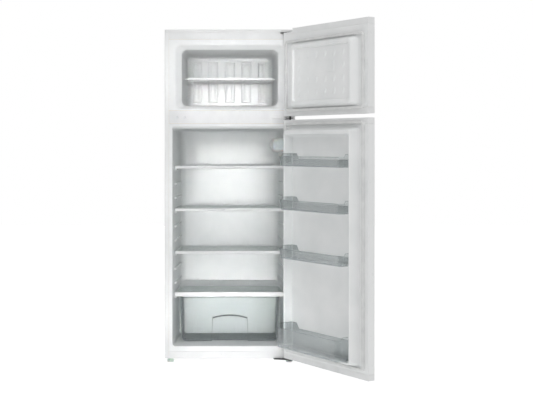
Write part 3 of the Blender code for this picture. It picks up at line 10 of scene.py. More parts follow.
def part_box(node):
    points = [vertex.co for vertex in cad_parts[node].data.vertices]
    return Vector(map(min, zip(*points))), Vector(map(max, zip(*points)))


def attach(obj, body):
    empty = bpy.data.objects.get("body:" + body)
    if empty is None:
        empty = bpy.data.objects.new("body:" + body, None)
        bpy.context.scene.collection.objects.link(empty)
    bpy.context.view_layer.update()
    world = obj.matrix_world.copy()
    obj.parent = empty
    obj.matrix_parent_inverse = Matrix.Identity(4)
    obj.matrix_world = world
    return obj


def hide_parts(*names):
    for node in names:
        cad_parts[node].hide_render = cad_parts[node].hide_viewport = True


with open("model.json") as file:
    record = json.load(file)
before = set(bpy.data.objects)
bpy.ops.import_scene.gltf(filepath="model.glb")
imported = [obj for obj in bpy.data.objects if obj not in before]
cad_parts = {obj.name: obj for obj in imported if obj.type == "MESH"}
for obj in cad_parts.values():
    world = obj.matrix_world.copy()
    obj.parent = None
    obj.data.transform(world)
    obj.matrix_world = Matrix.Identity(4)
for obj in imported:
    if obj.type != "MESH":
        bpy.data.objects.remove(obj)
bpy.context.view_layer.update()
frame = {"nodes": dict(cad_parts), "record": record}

MM = 0.001


# ---- places, read from the frame ---------------------------------------------------

def low(node):
    """Lowest corner of a node of the frame."""
    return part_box(node)[0]


def high(node):
    """Highest corner of a node of the frame."""
    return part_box(node)[1]


CENTRE_X = (low("top_cover").x + high("top_cover").x) / 2
FRONT_Y = low("freezer_liner").y
PIN = Vector((CENTRE_X + 0.255, FRONT_Y - 0.030, 0.0))
DOOR_ANGLE = radians(122.5)


def cabinet_point(x, depth, z):
    """Point of the cabinet from its middle, its front face and the floor."""
    return Vector((CENTRE_X + x, FRONT_Y + depth, z))


# ---- node and material helpers ------------------------------------------------------

def hex_colour(text):
    """sRGB hex value as the linear colour that shaders take."""
    channels = [int(text[index:index + 2], 16) / 255 for index in (1, 3, 5)]
    linear = [value / 12.92 if value <= 0.04045 else ((value + 0.055) / 1.055) ** 2.4
              for value in channels]
    return (*linear, 1.0)


def add_node(tree, kind, settings=None, links=None, **values):
    """Add a shader node, set its properties and input values, and link its inputs."""
    node = tree.nodes.new(kind)
    for name, value in values.items():
        setattr(node, name, value)
    for name, value in (settings or {}).items():
        node.inputs[name].default_value = value
    for name, source in (links or {}).items():
        tree.links.new(source, node.inputs[name])
    return node


def new_material(name):
    """Empty node material with its output, and the object coordinates that patterns read."""
    material = bpy.data.materials.new(name)
    material.use_nodes = True
    tree = material.node_tree
    tree.nodes.clear()
    output = add_node(tree, "ShaderNodeOutputMaterial")
    place = add_node(tree, "ShaderNodeTexCoord").outputs["Object"]
    return material, tree, output, place


def speckle(tree, place, size, detail=2.0, roughness=0.5):
    """Noise whose blotches are about size metres across."""
    return add_node(tree, "ShaderNodeTexNoise", {"Scale": 1.0 / size, "Detail": detail,
                                                 "Roughness": roughness}, {"Vector": place})


def ramp_colour(tree, factor, dark, light, start=0.3, end=0.7):
    """Two-colour ramp over a pattern."""
    node = add_node(tree, "ShaderNodeValToRGB", links={"Fac": factor})
    node.color_ramp.elements[0].position = start
    node.color_ramp.elements[0].color = hex_colour(dark)
    node.color_ramp.elements[1].position = end
    node.color_ramp.elements[1].color = hex_colour(light)
    return node.outputs["Color"]


def spread(tree, factor, least, most):
    """Pattern value stretched to a range, for roughness."""
    return add_node(tree, "ShaderNodeMapRange", {"To Min": least, "To Max": most},
                    {"Value": factor}).outputs["Result"]


def painted(name, dark, light, rough, bump_size, bump_height, coat=0.0, metallic=0.0,
            blotch=0.12, ior=1.5, grain=None):
    """Opaque finish: faint colour drift, roughness drift and a fine surface relief."""
    material, tree, output, place = new_material(name)
    drift = speckle(tree, place, blotch, 3.0)
    colour = ramp_colour(tree, drift.outputs["Fac"], dark, light)
    smear = speckle(tree, place, blotch / 4, 4.0, 0.6)
    source = place
    if grain:
        source = add_node(tree, "ShaderNodeMapping", {"Scale": grain}, {"Vector": place}).outputs["Vector"]
    relief = speckle(tree, source, bump_size, 2.0)
    bump = add_node(tree, "ShaderNodeBump", {"Strength": 0.6, "Distance": bump_height},
                    {"Height": relief.outputs["Fac"]})
    shader = add_node(tree, "ShaderNodeBsdfPrincipled",
                      {"Metallic": metallic, "Coat Weight": coat, "Coat Roughness": 0.08, "IOR": ior},
                      {"Base Color": colour, "Roughness": spread(tree, smear.outputs["Fac"], *rough),
                       "Normal": bump.outputs["Normal"]})
    tree.links.new(shader.outputs["BSDF"], output.inputs["Surface"])
    return material


def clear(name, tint, rough, ior, wave_size, wave_height, least, most):
    """See-through moulding or glass: nearly open face on, a tinted refracting body at its edges."""
    material, tree, output, place = new_material(name)
    flow = speckle(tree, place, wave_size, 1.0)
    bump = add_node(tree, "ShaderNodeBump", {"Strength": 0.5, "Distance": wave_height},
                    {"Height": flow.outputs["Fac"]})
    haze = speckle(tree, place, wave_size * 2, 3.0)
    body = add_node(tree, "ShaderNodeBsdfPrincipled",
                    {"Transmission Weight": 0.8, "IOR": ior, "Base Color": hex_colour(tint)},
                    {"Roughness": spread(tree, haze.outputs["Fac"], *rough),
                     "Normal": bump.outputs["Normal"]})
    veil = add_node(tree, "ShaderNodeBsdfTransparent", {"Color": hex_colour("#FBFCFC")})
    edge = add_node(tree, "ShaderNodeLayerWeight", {"Blend": 0.35})
    share = add_node(tree, "ShaderNodeMapRange", {"From Min": 0.1, "From Max": 0.8, "To Min": 1 - least,
                                                  "To Max": 1 - most}, {"Value": edge.outputs["Facing"]})
    mixed = add_node(tree, "ShaderNodeMixShader", links={
        "Fac": share.outputs["Result"], 1: body.outputs["BSDF"], 2: veil.outputs["BSDF"]})
    tree.links.new(mixed.outputs["Shader"], output.inputs["Surface"])
    return material


# ---- materials -----------------------------------------------------------------------

def enamelled_steel():
    """Coil-coated sheet steel: glossy white with a fine orange peel of about 1.5 mm."""
    return painted("coil coated white enamel", "#ECEDED", "#EFF0F0", (0.24, 0.34), 1.5 * MM, 0.02 * MM,
                   coat=0.35, blotch=90 * MM)


def moulded_polystyrene():
    """Injection moulded ABS: satin white with an eroded grain of about 0.6 mm, drawn at 0.9 mm."""
    return painted("injection moulded white ABS", "#E6E7E7", "#EDEEEE", (0.36, 0.48), 0.9 * MM,
                   0.025 * MM, blotch=60 * MM)


def formed_liner():
    """Vacuum formed polystyrene sheet: soft satin, faint waves from the forming, about 25 mm long."""
    return painted("vacuum formed polystyrene liner", "#E9EBEB", "#F1F2F2", (0.28, 0.42), 25 * MM,
                   0.12 * MM, coat=0.12, blotch=110 * MM)


def gasket_vinyl():
    """Extruded soft vinyl: matt, with faint draw marks 2 mm apart along the strip."""
    return painted("extruded soft vinyl", "#D4D5D5", "#E2E3E2", (0.5, 0.66), 2 * MM, 0.05 * MM,
                   blotch=40 * MM)


def blown_foam():
    """Blown polyurethane: cream with open cells of about 3 mm where its skin is cut."""
    material, tree, output, place = new_material("blown polyurethane foam")
    cells = add_node(tree, "ShaderNodeTexVoronoi", {"Scale": 1 / (3 * MM)}, {"Vector": place})
    colour = ramp_colour(tree, cells.outputs["Distance"], "#B79F66", "#DCC791", 0.1, 0.6)
    bump = add_node(tree, "ShaderNodeBump", {"Strength": 0.8, "Distance": 0.4 * MM},
                    {"Height": cells.outputs["Distance"]})
    drift = speckle(tree, place, 30 * MM)
    shader = add_node(tree, "ShaderNodeBsdfPrincipled", links={
        "Base Color": colour, "Normal": bump.outputs["Normal"],
        "Roughness": spread(tree, drift.outputs["Fac"], 0.8, 0.95)})
    tree.links.new(shader.outputs["BSDF"], output.inputs["Surface"])
    return material


def zinc_coated():
    """Hot dip galvanised sheet: grey metal with spangles about 7 mm across."""
    material, tree, output, place = new_material("hot dip galvanised steel")
    spangle = add_node(tree, "ShaderNodeTexVoronoi", {"Scale": 1 / (7 * MM)}, {"Vector": place})
    tone = add_node(tree, "ShaderNodeSeparateColor", links={"Color": spangle.outputs["Color"]})
    colour = ramp_colour(tree, tone.outputs["Red"], "#A3A8AB", "#C6CACC", 0.0, 1.0)
    scratches = speckle(tree, place, 3 * MM, 4.0)
    bump = add_node(tree, "ShaderNodeBump", {"Strength": 0.35, "Distance": 0.03 * MM},
                    {"Height": scratches.outputs["Fac"]})
    shader = add_node(tree, "ShaderNodeBsdfPrincipled", {"Metallic": 1.0}, {
        "Base Color": colour, "Normal": bump.outputs["Normal"],
        "Roughness": spread(tree, tone.outputs["Green"], 0.34, 0.52)})
    tree.links.new(shader.outputs["BSDF"], output.inputs["Surface"])
    return material


MATERIALS = {
    "white_enamel": enamelled_steel(),
    "white_plastic": moulded_polystyrene(),
    "white_liner": formed_liner(),
    "gasket_rubber": gasket_vinyl(),
    "foam": blown_foam(),
    "galvanised": zinc_coated(),
    # Crystal polystyrene: nearly colourless, with flow waves about 12 mm long.
    "clear_plastic": clear("injection moulded crystal polystyrene", "#BFC5C7", (0.04, 0.12), 1.59,
                           14 * MM, 0.12 * MM, 0.02, 0.85),
    # Toughened float glass: faintly green, with roller waves about 60 mm long.
    "clear_glass": clear("toughened float glass", "#BFD0C9", (0.01, 0.04), 1.52, 60 * MM, 0.05 * MM,
                         0.05, 0.7),
    # Compressor shell: black stoved enamel, slightly pitted at 2 mm.
    "black_enamel": painted("black stoved enamel", "#0E0F10", "#1A1B1C", (0.28, 0.42), 2 * MM,
                            0.05 * MM, coat=0.2, blotch=50 * MM),
    # Glass-filled nylon and ABS: black, matt, fine grain.
    "black_plastic": painted("moulded black nylon", "#151617", "#222325", (0.45, 0.6), 0.9 * MM,
                             0.03 * MM, blotch=30 * MM),
    # Rolled aluminium sheet: fine grain 0.8 mm wide, drawn along the width.
    "aluminium": painted("rolled aluminium sheet", "#BFC2C4", "#D2D4D5", (0.3, 0.45), 0.8 * MM,
                         0.02 * MM, metallic=1.0, blotch=80 * MM, grain=(0.03, 1.0, 1.0)),
    # Drawn copper tube with a tarnish drift about 40 mm long.
    "copper": painted("drawn copper tube", "#8A4B33", "#B9714F", (0.28, 0.5), 1 * MM, 0.02 * MM,
                      metallic=1.0, blotch=40 * MM),
}


def milky_polypropylene():
    """Natural polypropylene: milky, lets some light through, soft sheen."""
    material, tree, output, place = new_material("natural milky polypropylene")
    drift = speckle(tree, place, 20 * MM, 3.0)
    colour = ramp_colour(tree, drift.outputs["Fac"], "#DCDFDF", "#ECEEEE")
    ripple = speckle(tree, place, 1.2 * MM)
    bump = add_node(tree, "ShaderNodeBump", {"Strength": 0.5, "Distance": 0.03 * MM},
                    {"Height": ripple.outputs["Fac"]})
    shader = add_node(tree, "ShaderNodeBsdfPrincipled",
                      {"Subsurface Weight": 0.35, "Subsurface Scale": 3 * MM, "IOR": 1.49},
                      {"Base Color": colour, "Normal": bump.outputs["Normal"],
                       "Roughness": spread(tree, drift.outputs["Fac"], 0.3, 0.45)})
    tree.links.new(shader.outputs["BSDF"], output.inputs["Surface"])
    return material


MATERIALS["milky_plastic"] = milky_polypropylene()
BODY_OF = {node: body for body, nodes in frame["record"]["behaviour"]["bodies"].items()
           for node in nodes}


# ---- mesh helpers --------------------------------------------------------------------

def across(depth=0.0, z=0.0, x=0.0):
    """Placement of a shape that stands across the cabinet, at a depth behind its front face."""
    return Matrix.Translation(cabinet_point(x, depth, z)) @ Matrix.Rotation(pi / 2, 4, "X")


def sheet(bm, place, width, height, radius=0.0, steps=5):
    """Flat face with rounded corners."""
    before = set(bm.verts)
    verts = bmesh.ops.create_grid(bm, x_segments=1, y_segments=1, size=0.5,
                                  matrix=place @ Matrix.Diagonal((width, height, 1.0, 1.0)))["verts"]
    if radius:
        bmesh.ops.bevel(bm, geom=verts, offset=radius, offset_type="OFFSET", segments=steps,
                        profile=0.5, affect="VERTICES", material=-1, clamp_overlap=False)
    made = [vert for vert in bm.verts if vert not in before]
    return made[0].link_faces[0]


def loop(bm, place, width, height, radius, steps=5):
    """Outline of such a face, as a list of edges."""
    face = sheet(bm, place, width, height, radius, steps)
    edges = list(face.edges)
    bmesh.ops.delete(bm, geom=[face], context="FACES_ONLY")
    return edges


def frame_loop(bm, half, bottom, top, radius, depth, steps=5):
    """Round-cornered outline across the cabinet."""
    return loop(bm, across(depth, (bottom + top) / 2), 2 * half, top - bottom, radius, steps)


def skin(bm, loops, closed=False):
    """Bridge a stack of outlines."""
    following = loops[1:] + ([loops[0]] if closed else [])
    for near, far in zip(loops, following):
        points = [vert.co for edge in near + far for vert in edge.verts]
        if any(max(point[axis] for point in points) - min(point[axis] for point in points) < 1e-6
               for axis in (1, 2)):
            bmesh.ops.triangle_fill(bm, use_beauty=True, edges=near + far)
        else:
            bmesh.ops.bridge_loops(bm, edges=near + far)


def cap(bm, edges):
    """Face inside an outline."""
    return bmesh.ops.edgeloop_fill(bm, edges=edges)["faces"]


def round_edges(bm, edges, offset, segments, clamp=True):
    """Round the given edges."""
    bmesh.ops.bevel(bm, geom=edges, offset=offset, offset_type="OFFSET", segments=segments,
                    profile=0.5, affect="EDGES", material=-1, clamp_overlap=clamp)


def edges_of(verts):
    """Every edge at the given vertices."""
    return list({edge for vert in verts for edge in vert.link_edges})


def outward(bm):
    """Turn every face outwards."""
    bmesh.ops.recalc_face_normals(bm, faces=bm.faces)


def crease(bm, offset, segments=2, least=30, edges=None):
    """Round every edge that is sharper than an angle."""
    limit = radians(least)
    sharp = [edge for edge in (edges or bm.edges)
             if len(edge.link_faces) == 2 and edge.calc_face_angle(0.0) > limit]
    if sharp:
        round_edges(bm, sharp, offset, segments)


def box(bm, low_corner, high_corner):
    """Box between two corners."""
    low_corner, high_corner = Vector(low_corner), Vector(high_corner)
    size = high_corner - low_corner
    return bmesh.ops.create_cube(
        bm, size=1.0, matrix=Matrix.Translation((low_corner + high_corner) / 2)
        @ Matrix.Diagonal((*size, 1.0)))["verts"]


def bar(bm, start, end, radius, segments=10, end_radius=None):
    """Round bar from one point to another."""
    start, end = Vector(start), Vector(end)
    axis = end - start
    turn = Vector((0, 0, 1)).rotation_difference(axis).to_matrix().to_4x4()
    return bmesh.ops.create_cone(
        bm, cap_ends=True, segments=segments, radius1=radius,
        radius2=radius if end_radius is None else end_radius, depth=axis.length,
        matrix=Matrix.Translation((start + end) / 2) @ turn)["verts"]


def lathe(bm, profile, centre, axis=(0, 0, 1), out=(1, 0, 0), steps=32):
    """Spin a profile of (radius, height) points about an axis."""
    centre, axis, out = Vector(centre), Vector(axis), Vector(out)
    verts = [bm.verts.new(centre + out * radius + axis * height) for radius, height in profile]
    edges = [bm.edges.new(pair) for pair in zip(verts, verts[1:])]
    bmesh.ops.spin(bm, geom=verts + edges, cent=centre, axis=axis, angle=2 * pi, steps=steps,
                   use_merge=True, use_duplicate=False)
    bmesh.ops.remove_doubles(bm, verts=bm.verts, dist=1e-6)


def extrude(bm, faces, move):
    """Push faces out along a vector, and give back the pushed faces."""
    made = bmesh.ops.extrude_face_region(bm, geom=list(faces))["geom"]
    bmesh.ops.delete(bm, geom=[face for face in faces if face.is_valid], context="FACES_ONLY")
    verts = [item for item in made if isinstance(item, bmesh.types.BMVert)]
    bmesh.ops.translate(bm, vec=Vector(move), verts=verts)
    return [item for item in made if isinstance(item, bmesh.types.BMFace)]


def facing(bm, direction, faces=None):
    """Turn all faces round if they look away from a direction."""
    total = sum(((face.normal * face.calc_area()) for face in (faces or bm.faces)), Vector())
    if total.dot(Vector(direction)) < 0:
        bmesh.ops.reverse_faces(bm, faces=bm.faces)


def finish(name, bm, slot, nodes=(), body=None, turn=0.0, wall=0.0, material=None, angle=35):
    """Make the piece: mesh, material, body, the nodes it stands for and its finish."""
    if turn:
        bmesh.ops.rotate(bm, cent=PIN, matrix=Matrix.Rotation(turn, 3, "Z"), verts=bm.verts)
    bmesh.ops.remove_doubles(bm, verts=bm.verts, dist=2e-5)
    bmesh.ops.dissolve_degenerate(bm, edges=bm.edges, dist=1e-5)
    mesh = bpy.data.meshes.new(name)
    bm.to_mesh(mesh)
    bm.free()
    mesh.shade_smooth()
    mesh.set_sharp_from_angle(angle=radians(angle))
    piece = bpy.data.objects.new(name, mesh)
    bpy.context.scene.collection.objects.link(piece)
    mesh.materials.append(material or MATERIALS[slot])
    if wall:
        solid = piece.modifiers.new("wall", "SOLIDIFY")
        solid.thickness = wall
        solid.offset = -1.0
    weighted = piece.modifiers.new("flat faces shade flat", "WEIGHTED_NORMAL")
    weighted.keep_sharp = True
    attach(piece, body or BODY_OF[nodes[0]])
    if nodes:
        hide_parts(*nodes)
    return piece


def node_shape(node):
    """Copy of a node's mesh, with each flat face in one piece."""
    bm = bmesh.new()
    bm.from_mesh(frame["nodes"][node].data)
    bmesh.ops.remove_doubles(bm, verts=bm.verts, dist=1e-6)
    bmesh.ops.dissolve_limit(bm, angle_limit=radians(0.5), verts=bm.verts, edges=bm.edges)
    return bm


def refined(node, slot, offset, segments=2, trim=None):
    """The node's own shape with its hard edges rounded."""
    bm = node_shape(node)
    if trim:
        trim(bm)
    crease(bm, offset, segments)
    finish(node + "_piece", bm, slot, [node])


def tube(bm, points, radius, closed=False, resolution=3):
    """Round wire or pipe along a line of points."""
    curve = bpy.data.curves.new("wire path", "CURVE")
    curve.dimensions = "3D"
    curve.bevel_depth = radius
    curve.bevel_resolution = resolution
    curve.use_fill_caps = not closed
    spline = curve.splines.new("POLY")
    spline.points.add(len(points) - 1)
    for point, place in zip(spline.points, points):
        point.co = (*place, 1.0)
    spline.use_cyclic_u = closed
    holder = bpy.data.objects.new("wire path", curve)
    bpy.context.scene.collection.objects.link(holder)
    solid = bpy.data.meshes.new_from_object(
        holder.evaluated_get(bpy.context.evaluated_depsgraph_get()))
    bm.from_mesh(solid)
    bpy.data.objects.remove(holder)
    bpy.data.meshes.remove(solid)


def bend(points, radius, closed=False, steps=6):
    """Line of points with its corners rounded."""
    points = [Vector(point) for point in points]
    count = len(points)
    line = []
    for index, point in enumerate(points):
        if not closed and index in (0, count - 1):
            line.append(point)
            continue
        before, after = points[index - 1], points[(index + 1) % count]
        start = point + (before - point).normalized() * radius
        end = point + (after - point).normalized() * radius
        for step in range(steps + 1):
            share = step / steps
            line.append(start * (1 - share) ** 2 + point * 2 * share * (1 - share) + end * share ** 2)
    return line


def split(bm, faces, point, normal):
    """Cut faces along a plane, and keep both sides."""
    geom = set(faces)
    for face in faces:
        geom.update(face.verts)
        geom.update(face.edges)
    bmesh.ops.bisect_plane(bm, geom=list(geom), dist=1e-6, plane_co=point, plane_no=normal)


def picked(bm, test):
    """Faces whose middle passes a test on its place in the cabinet and its normal."""
    return [face for face in bm.faces if test(local(face.calc_center_median()), face.normal)]


def local(point):
    """Cabinet x, depth and height of a point of the frame."""
    return Vector((point.x - CENTRE_X, point.y - FRONT_Y, point.z))


# ---- inner boxes ---------------------------------------------------------------------

LINER_WALL = 1.5 * MM
LINER_EDGE = 0.6 * MM
FREEZER_SILL, FREEZER_LINTEL = 1.0815, 1.354
FREEZER_FLOOR, FREEZER_CEILING, FREEZER_DEPTH = 1.095, 1.335, 0.385
FREEZER_MOUTH, FREEZER_THROAT, FREEZER_BACK = 0.232, 0.2056, 0.196   # half widths
FREEZER_CORNER, THROAT_DEPTH = 23 * MM, 25 * MM
FLUTES, FLUTE_PITCH, FLUTE_WIDTH, FLUTE_MARGIN = 5, 76 * MM, 46 * MM, 26 * MM
FLANGE_HALF = high("freezer_liner").x - CENTRE_X
REAR_CORNER = 27 * MM


def rear_loops(bm, half, floor, ceiling, depth, radius, floor_share=0.5, steps=5):
    """Outlines of a box's rounded rear corner, front to back."""
    loops = []
    for step in range(steps + 1):
        angle = pi / 2 * step / steps
        inset = REAR_CORNER * (1 - cos(angle))
        loops.append(frame_loop(bm, half - inset, floor + inset * floor_share, ceiling - inset / 2,
                                max(radius - inset * floor_share, 6 * MM),
                                depth - REAR_CORNER * (1 - sin(angle))))
    return loops


def freezer_box():
    """Freezer's inner box: sloped mouth, rounded rear corners and five flutes on the back wall."""
    floor, ceiling, depth = FREEZER_FLOOR, FREEZER_CEILING, FREEZER_DEPTH
    bm = bmesh.new()
    loops = [frame_loop(bm, FLANGE_HALF, low("freezer_liner").z, high("freezer_liner").z, LINER_EDGE, 0.0),
             frame_loop(bm, FREEZER_MOUTH, FREEZER_SILL, FREEZER_LINTEL, FREEZER_CORNER, 0.0),
             frame_loop(bm, FREEZER_THROAT, floor, ceiling, FREEZER_CORNER, THROAT_DEPTH)]
    loops += rear_loops(bm, FREEZER_BACK, floor, ceiling, depth, FREEZER_CORNER)
    skin(bm, loops)
    back = cap(bm, loops[-1])
    outward(bm)
    facing(bm, (0, -1, 0), back)
    crease(bm, 5 * MM, 4, 30)

    def at_back(place, normal):
        return place.y > depth - 0.5 * MM

    edges = (floor + FLUTE_MARGIN, ceiling - FLUTE_MARGIN)
    for z in edges:
        split(bm, picked(bm, at_back), cabinet_point(0, depth, z), (0, 0, 1))
    middles = [(index - (FLUTES - 1) / 2) * FLUTE_PITCH for index in range(FLUTES)]
    for middle in middles:
        for side in (-1, 1):
            x = middle + side * FLUTE_WIDTH / 2
            split(bm, picked(bm, lambda place, normal: at_back(place, normal)
                             and edges[0] < place.z < edges[1]), cabinet_point(x, depth, 0), (1, 0, 0))
    flutes = picked(bm, lambda place, normal: at_back(place, normal) and edges[0] < place.z < edges[1]
                    and any(abs(place.x - middle) < 5 * MM for middle in middles))
    for inward, rise in ((5 * MM, 4 * MM), (8 * MM, 0.0), (3 * MM, -2 * MM)):
        bmesh.ops.inset_individual(bm, faces=flutes, thickness=inward, depth=rise, use_even_offset=True)
    crease(bm, 1.4 * MM, 2, 18, [edge for edge in bm.edges
                                 if all(local(vert.co).y > depth - 6 * MM for vert in edge.verts)
                                 and all(abs(local(vert.co).x) < 0.18 for vert in edge.verts)])
    finish("freezer_inner_box", bm, "white_liner", ["freezer_liner"], wall=LINER_WALL)


FRIDGE_SILL, FRIDGE_LINTEL = 0.0724, 1.009
FRIDGE_FLOOR, FRIDGE_CEILING, FRIDGE_DEPTH = 0.074, 0.999, 0.390
FRIDGE_MOUTH, FRIDGE_BACK, FRIDGE_TAPER_DEPTH = 0.245, 0.2255, 0.363
FRIDGE_CORNER = 11 * MM
HUMP_RISE = 19 * MM       # of the step's top, up to the back wall
HUMP_FRONT, HUMP_TOP = 0.312, 0.2884
RAIL_HEIGHT, RAIL_PROUD = 9 * MM, 8 * MM
RAIL_TOPS = [0.2725 + 0.0615 * index for index in range(10)]
RAIL_FRONT, RAIL_BACK, LOW_RAIL_BACK = 0.100, 0.340, 0.304
OVER_HUMP = 0.32          # rails higher than this run all the way back


def wall_half(depth):
    """Half width between the fridge's side walls at a depth."""
    return FRIDGE_MOUTH - 0.0195 * min(depth, FRIDGE_TAPER_DEPTH) / FRIDGE_TAPER_DEPTH


def fridge_box():
    """Fridge's inner box: shelf rails on its walls and the step over the compressor."""
    depth = FRIDGE_DEPTH
    bm = bmesh.new()
    loops = [frame_loop(bm, FLANGE_HALF, low("fridge_liner").z, high("fridge_liner").z, LINER_EDGE, 0.0),
             frame_loop(bm, FRIDGE_MOUTH, FRIDGE_SILL, FRIDGE_LINTEL, FRIDGE_CORNER, 0.0)]
    for at, floor in ((12 * MM, FRIDGE_FLOOR), (HUMP_FRONT, FRIDGE_FLOOR),
                      (HUMP_FRONT + 8 * MM, HUMP_TOP)):
        loops.append(frame_loop(bm, wall_half(at), floor, FRIDGE_CEILING, FRIDGE_CORNER, at))
    for step in range(6):
        angle = pi / 2 * step / 5
        inset = REAR_CORNER * (1 - cos(angle))
        at = depth - REAR_CORNER * (1 - sin(angle))
        rise = HUMP_RISE * (at - HUMP_FRONT) / (depth - HUMP_FRONT)
        loops.append(frame_loop(bm, FRIDGE_BACK - inset, HUMP_TOP + rise, FRIDGE_CEILING - inset / 2,
                                FRIDGE_CORNER, at))
    skin(bm, loops)
    back = cap(bm, loops[-1])
    outward(bm)
    facing(bm, (0, -1, 0), back)
    crease(bm, 3 * MM, 3, 30)

    def on_wall(place, normal):
        return abs(normal.x) > 0.95 and 20 * MM < place.y < 0.36

    for at in (RAIL_FRONT, LOW_RAIL_BACK, RAIL_BACK):
        split(bm, picked(bm, on_wall), cabinet_point(0, at, 0), (0, 1, 0))
    for top in RAIL_TOPS:
        for z in (top - RAIL_HEIGHT, top):
            split(bm, picked(bm, lambda place, normal: on_wall(place, normal)
                             and RAIL_FRONT < place.y < RAIL_BACK), cabinet_point(0, 0, z), (0, 0, 1))

    def on_rail(place, normal, side):
        return (on_wall(place, normal) and place.x * side > 0
                and any(top - RAIL_HEIGHT < place.z < top
                        and RAIL_FRONT < place.y < (RAIL_BACK if top > OVER_HUMP else LOW_RAIL_BACK)
                        for top in RAIL_TOPS))

    for side in (-1, 1):
        rails = picked(bm, lambda place, normal: on_rail(place, normal, side))
        extrude(bm, rails, (-side * RAIL_PROUD, 0, 0))
    near_rail = [edge for edge in bm.edges
                 if any(abs(local(vert.co).x) < wall_half(local(vert.co).y) - 0.7 * RAIL_PROUD
                        and 0.09 < local(vert.co).y < 0.345 and local(vert.co).z > 0.26
                        for vert in edge.verts)]
    crease(bm, 2.4 * MM, 3, 40, near_rail)
    finish("fridge_inner_box", bm, "white_liner", ["fridge_liner"], wall=LINER_WALL)


freezer_box()
fridge_box()


# ---- doors ---------------------------------------------------------------------------

DOOR_BACK = -12 * MM
PANEL_HALF = 0.2764
DYKE_CREST = DOOR_BACK + 45 * MM
DYKE_LOW, DYKE_HIGH = 0.082, 0.988
DYKE_BASE, DYKE_OUTER, DYKE_INNER, DYKE_FOOT = 0.2256, 0.219, 0.212, 0.2102   # half widths
RECESS = DOOR_BACK + 4 * MM
PLATEAU_BASE, PLATEAU_OUTER, PLATEAU_INNER, PLATEAU_FOOT = 0.222, 0.197, 0.183, 0.180
PLATEAU_LOW, PLATEAU_HIGH = 1.0935, 1.342
DOOR_LINER = 1.2 * MM
GASKET_HALF, GASKET_LAP = 0.259, 13.5 * MM


def door_span(door):
    """Lowest and highest point of a door's liner."""
    return low(f"{door}_liner").z, high(f"{door}_liner").z


def fridge_door_face():
    """Fridge door's inner face: rounded dykes all round a flat recess."""
    bottom, top = door_span("fridge_door")
    bm = bmesh.new()
    loops = [frame_loop(bm, PANEL_HALF, bottom, top, LINER_EDGE, DOOR_BACK, 6),
             frame_loop(bm, DYKE_BASE, DYKE_LOW - 8 * MM, DYKE_HIGH + 8 * MM, 14 * MM, DOOR_BACK, 6),
             frame_loop(bm, DYKE_OUTER, DYKE_LOW, DYKE_HIGH, 14 * MM, DYKE_CREST, 6),
             frame_loop(bm, DYKE_INNER, DYKE_LOW + 8 * MM, DYKE_HIGH - 16 * MM, 10 * MM, DYKE_CREST, 6),
             frame_loop(bm, DYKE_FOOT, DYKE_LOW + 10 * MM, DYKE_HIGH - 24 * MM, 10 * MM, RECESS, 6)]
    skin(bm, loops)
    face = cap(bm, loops[-1])
    outward(bm)
    facing(bm, (0, 1, 0), face)
    crest = {vert for edge in loops[2] + loops[3] for vert in edge.verts}
    crease(bm, 2.8 * MM, 4, 30, [edge for edge in bm.edges if set(edge.verts) <= crest])
    crease(bm, 5 * MM, 4, 40, [edge for edge in bm.edges
                               if all(local(vert.co).y < RECESS + 0.2 * MM for vert in edge.verts)])
    finish("fridge_door_inner_face", bm, "white_liner", ["fridge_door_liner"], turn=DOOR_ANGLE,
           wall=DOOR_LINER)


def freezer_door_face():
    """Freezer door's inner face: sloped plateau, and a recess with slanted dimples round a plain field."""
    bottom, top = door_span("freezer_door")
    floor, ceiling = PLATEAU_LOW, PLATEAU_HIGH
    crest = DOOR_BACK + 23 * MM
    recess = crest - 7 * MM
    bm = bmesh.new()
    loops = [frame_loop(bm, PANEL_HALF, bottom, top, LINER_EDGE, DOOR_BACK, 6),
             frame_loop(bm, PLATEAU_BASE, floor - 12 * MM, ceiling + 12 * MM, 24 * MM, DOOR_BACK, 6),
             frame_loop(bm, PLATEAU_OUTER, floor, ceiling, 18 * MM, crest, 6),
             frame_loop(bm, PLATEAU_INNER, floor + 14 * MM, ceiling - 14 * MM, 12 * MM, crest, 6),
             frame_loop(bm, PLATEAU_FOOT, floor + 17 * MM, ceiling - 17 * MM, 10 * MM, recess, 6)]
    skin(bm, loops)
    face = cap(bm, loops[-1])
    outward(bm)
    facing(bm, (0, 1, 0), face)
    rims = [{vert for edge in loops[index] for vert in edge.verts} for index in (1, 2, 3)]
    crease(bm, 4 * MM, 4, 20, [edge for edge in bm.edges if any(set(edge.verts) <= rim for rim in rims)])

    columns, rows = 6, 4
    pitch_x, pitch_z = 0.058, 0.051
    middle = (floor + ceiling) / 2
    dimples = bmesh.new()
    finish("freezer_door_inner_face", bm, "white_liner", ["freezer_door_liner"], turn=DOOR_ANGLE,
           wall=DOOR_LINER)
    slant = Matrix.Rotation(radians(-20), 4, "Y")
    for column in range(columns):
        for row in range(rows):
            if row == 2 and 1 <= column <= 3:
                continue
            x = (column - (columns - 1) / 2) * pitch_x
            z = middle + (row - (rows - 1) / 2) * pitch_z
            verts = bmesh.ops.create_uvsphere(
                dimples, u_segments=20, v_segments=8, radius=1.0,
                matrix=Matrix.Translation(cabinet_point(x, recess - 0.6 * MM, z)) @ slant
                @ Matrix.Diagonal((8 * MM, 2.4 * MM, 17 * MM, 1.0)))["verts"]
            buried = [vert for vert in verts if local(vert.co).y < recess - 1.6 * MM]
            bmesh.ops.delete(dimples, geom=buried, context="VERTS")
    field = box(dimples, cabinet_point(-0.087, recess - 1 * MM, middle + 0.003),
                cabinet_point(0.030, recess + 1.2 * MM, middle + pitch_z - 0.003))
    round_edges(dimples, edges_of(field), 1.0 * MM, 3, clamp=False)
    finish("freezer_door_pattern", dimples, "white_liner", body="freezer_door", turn=DOOR_ANGLE)


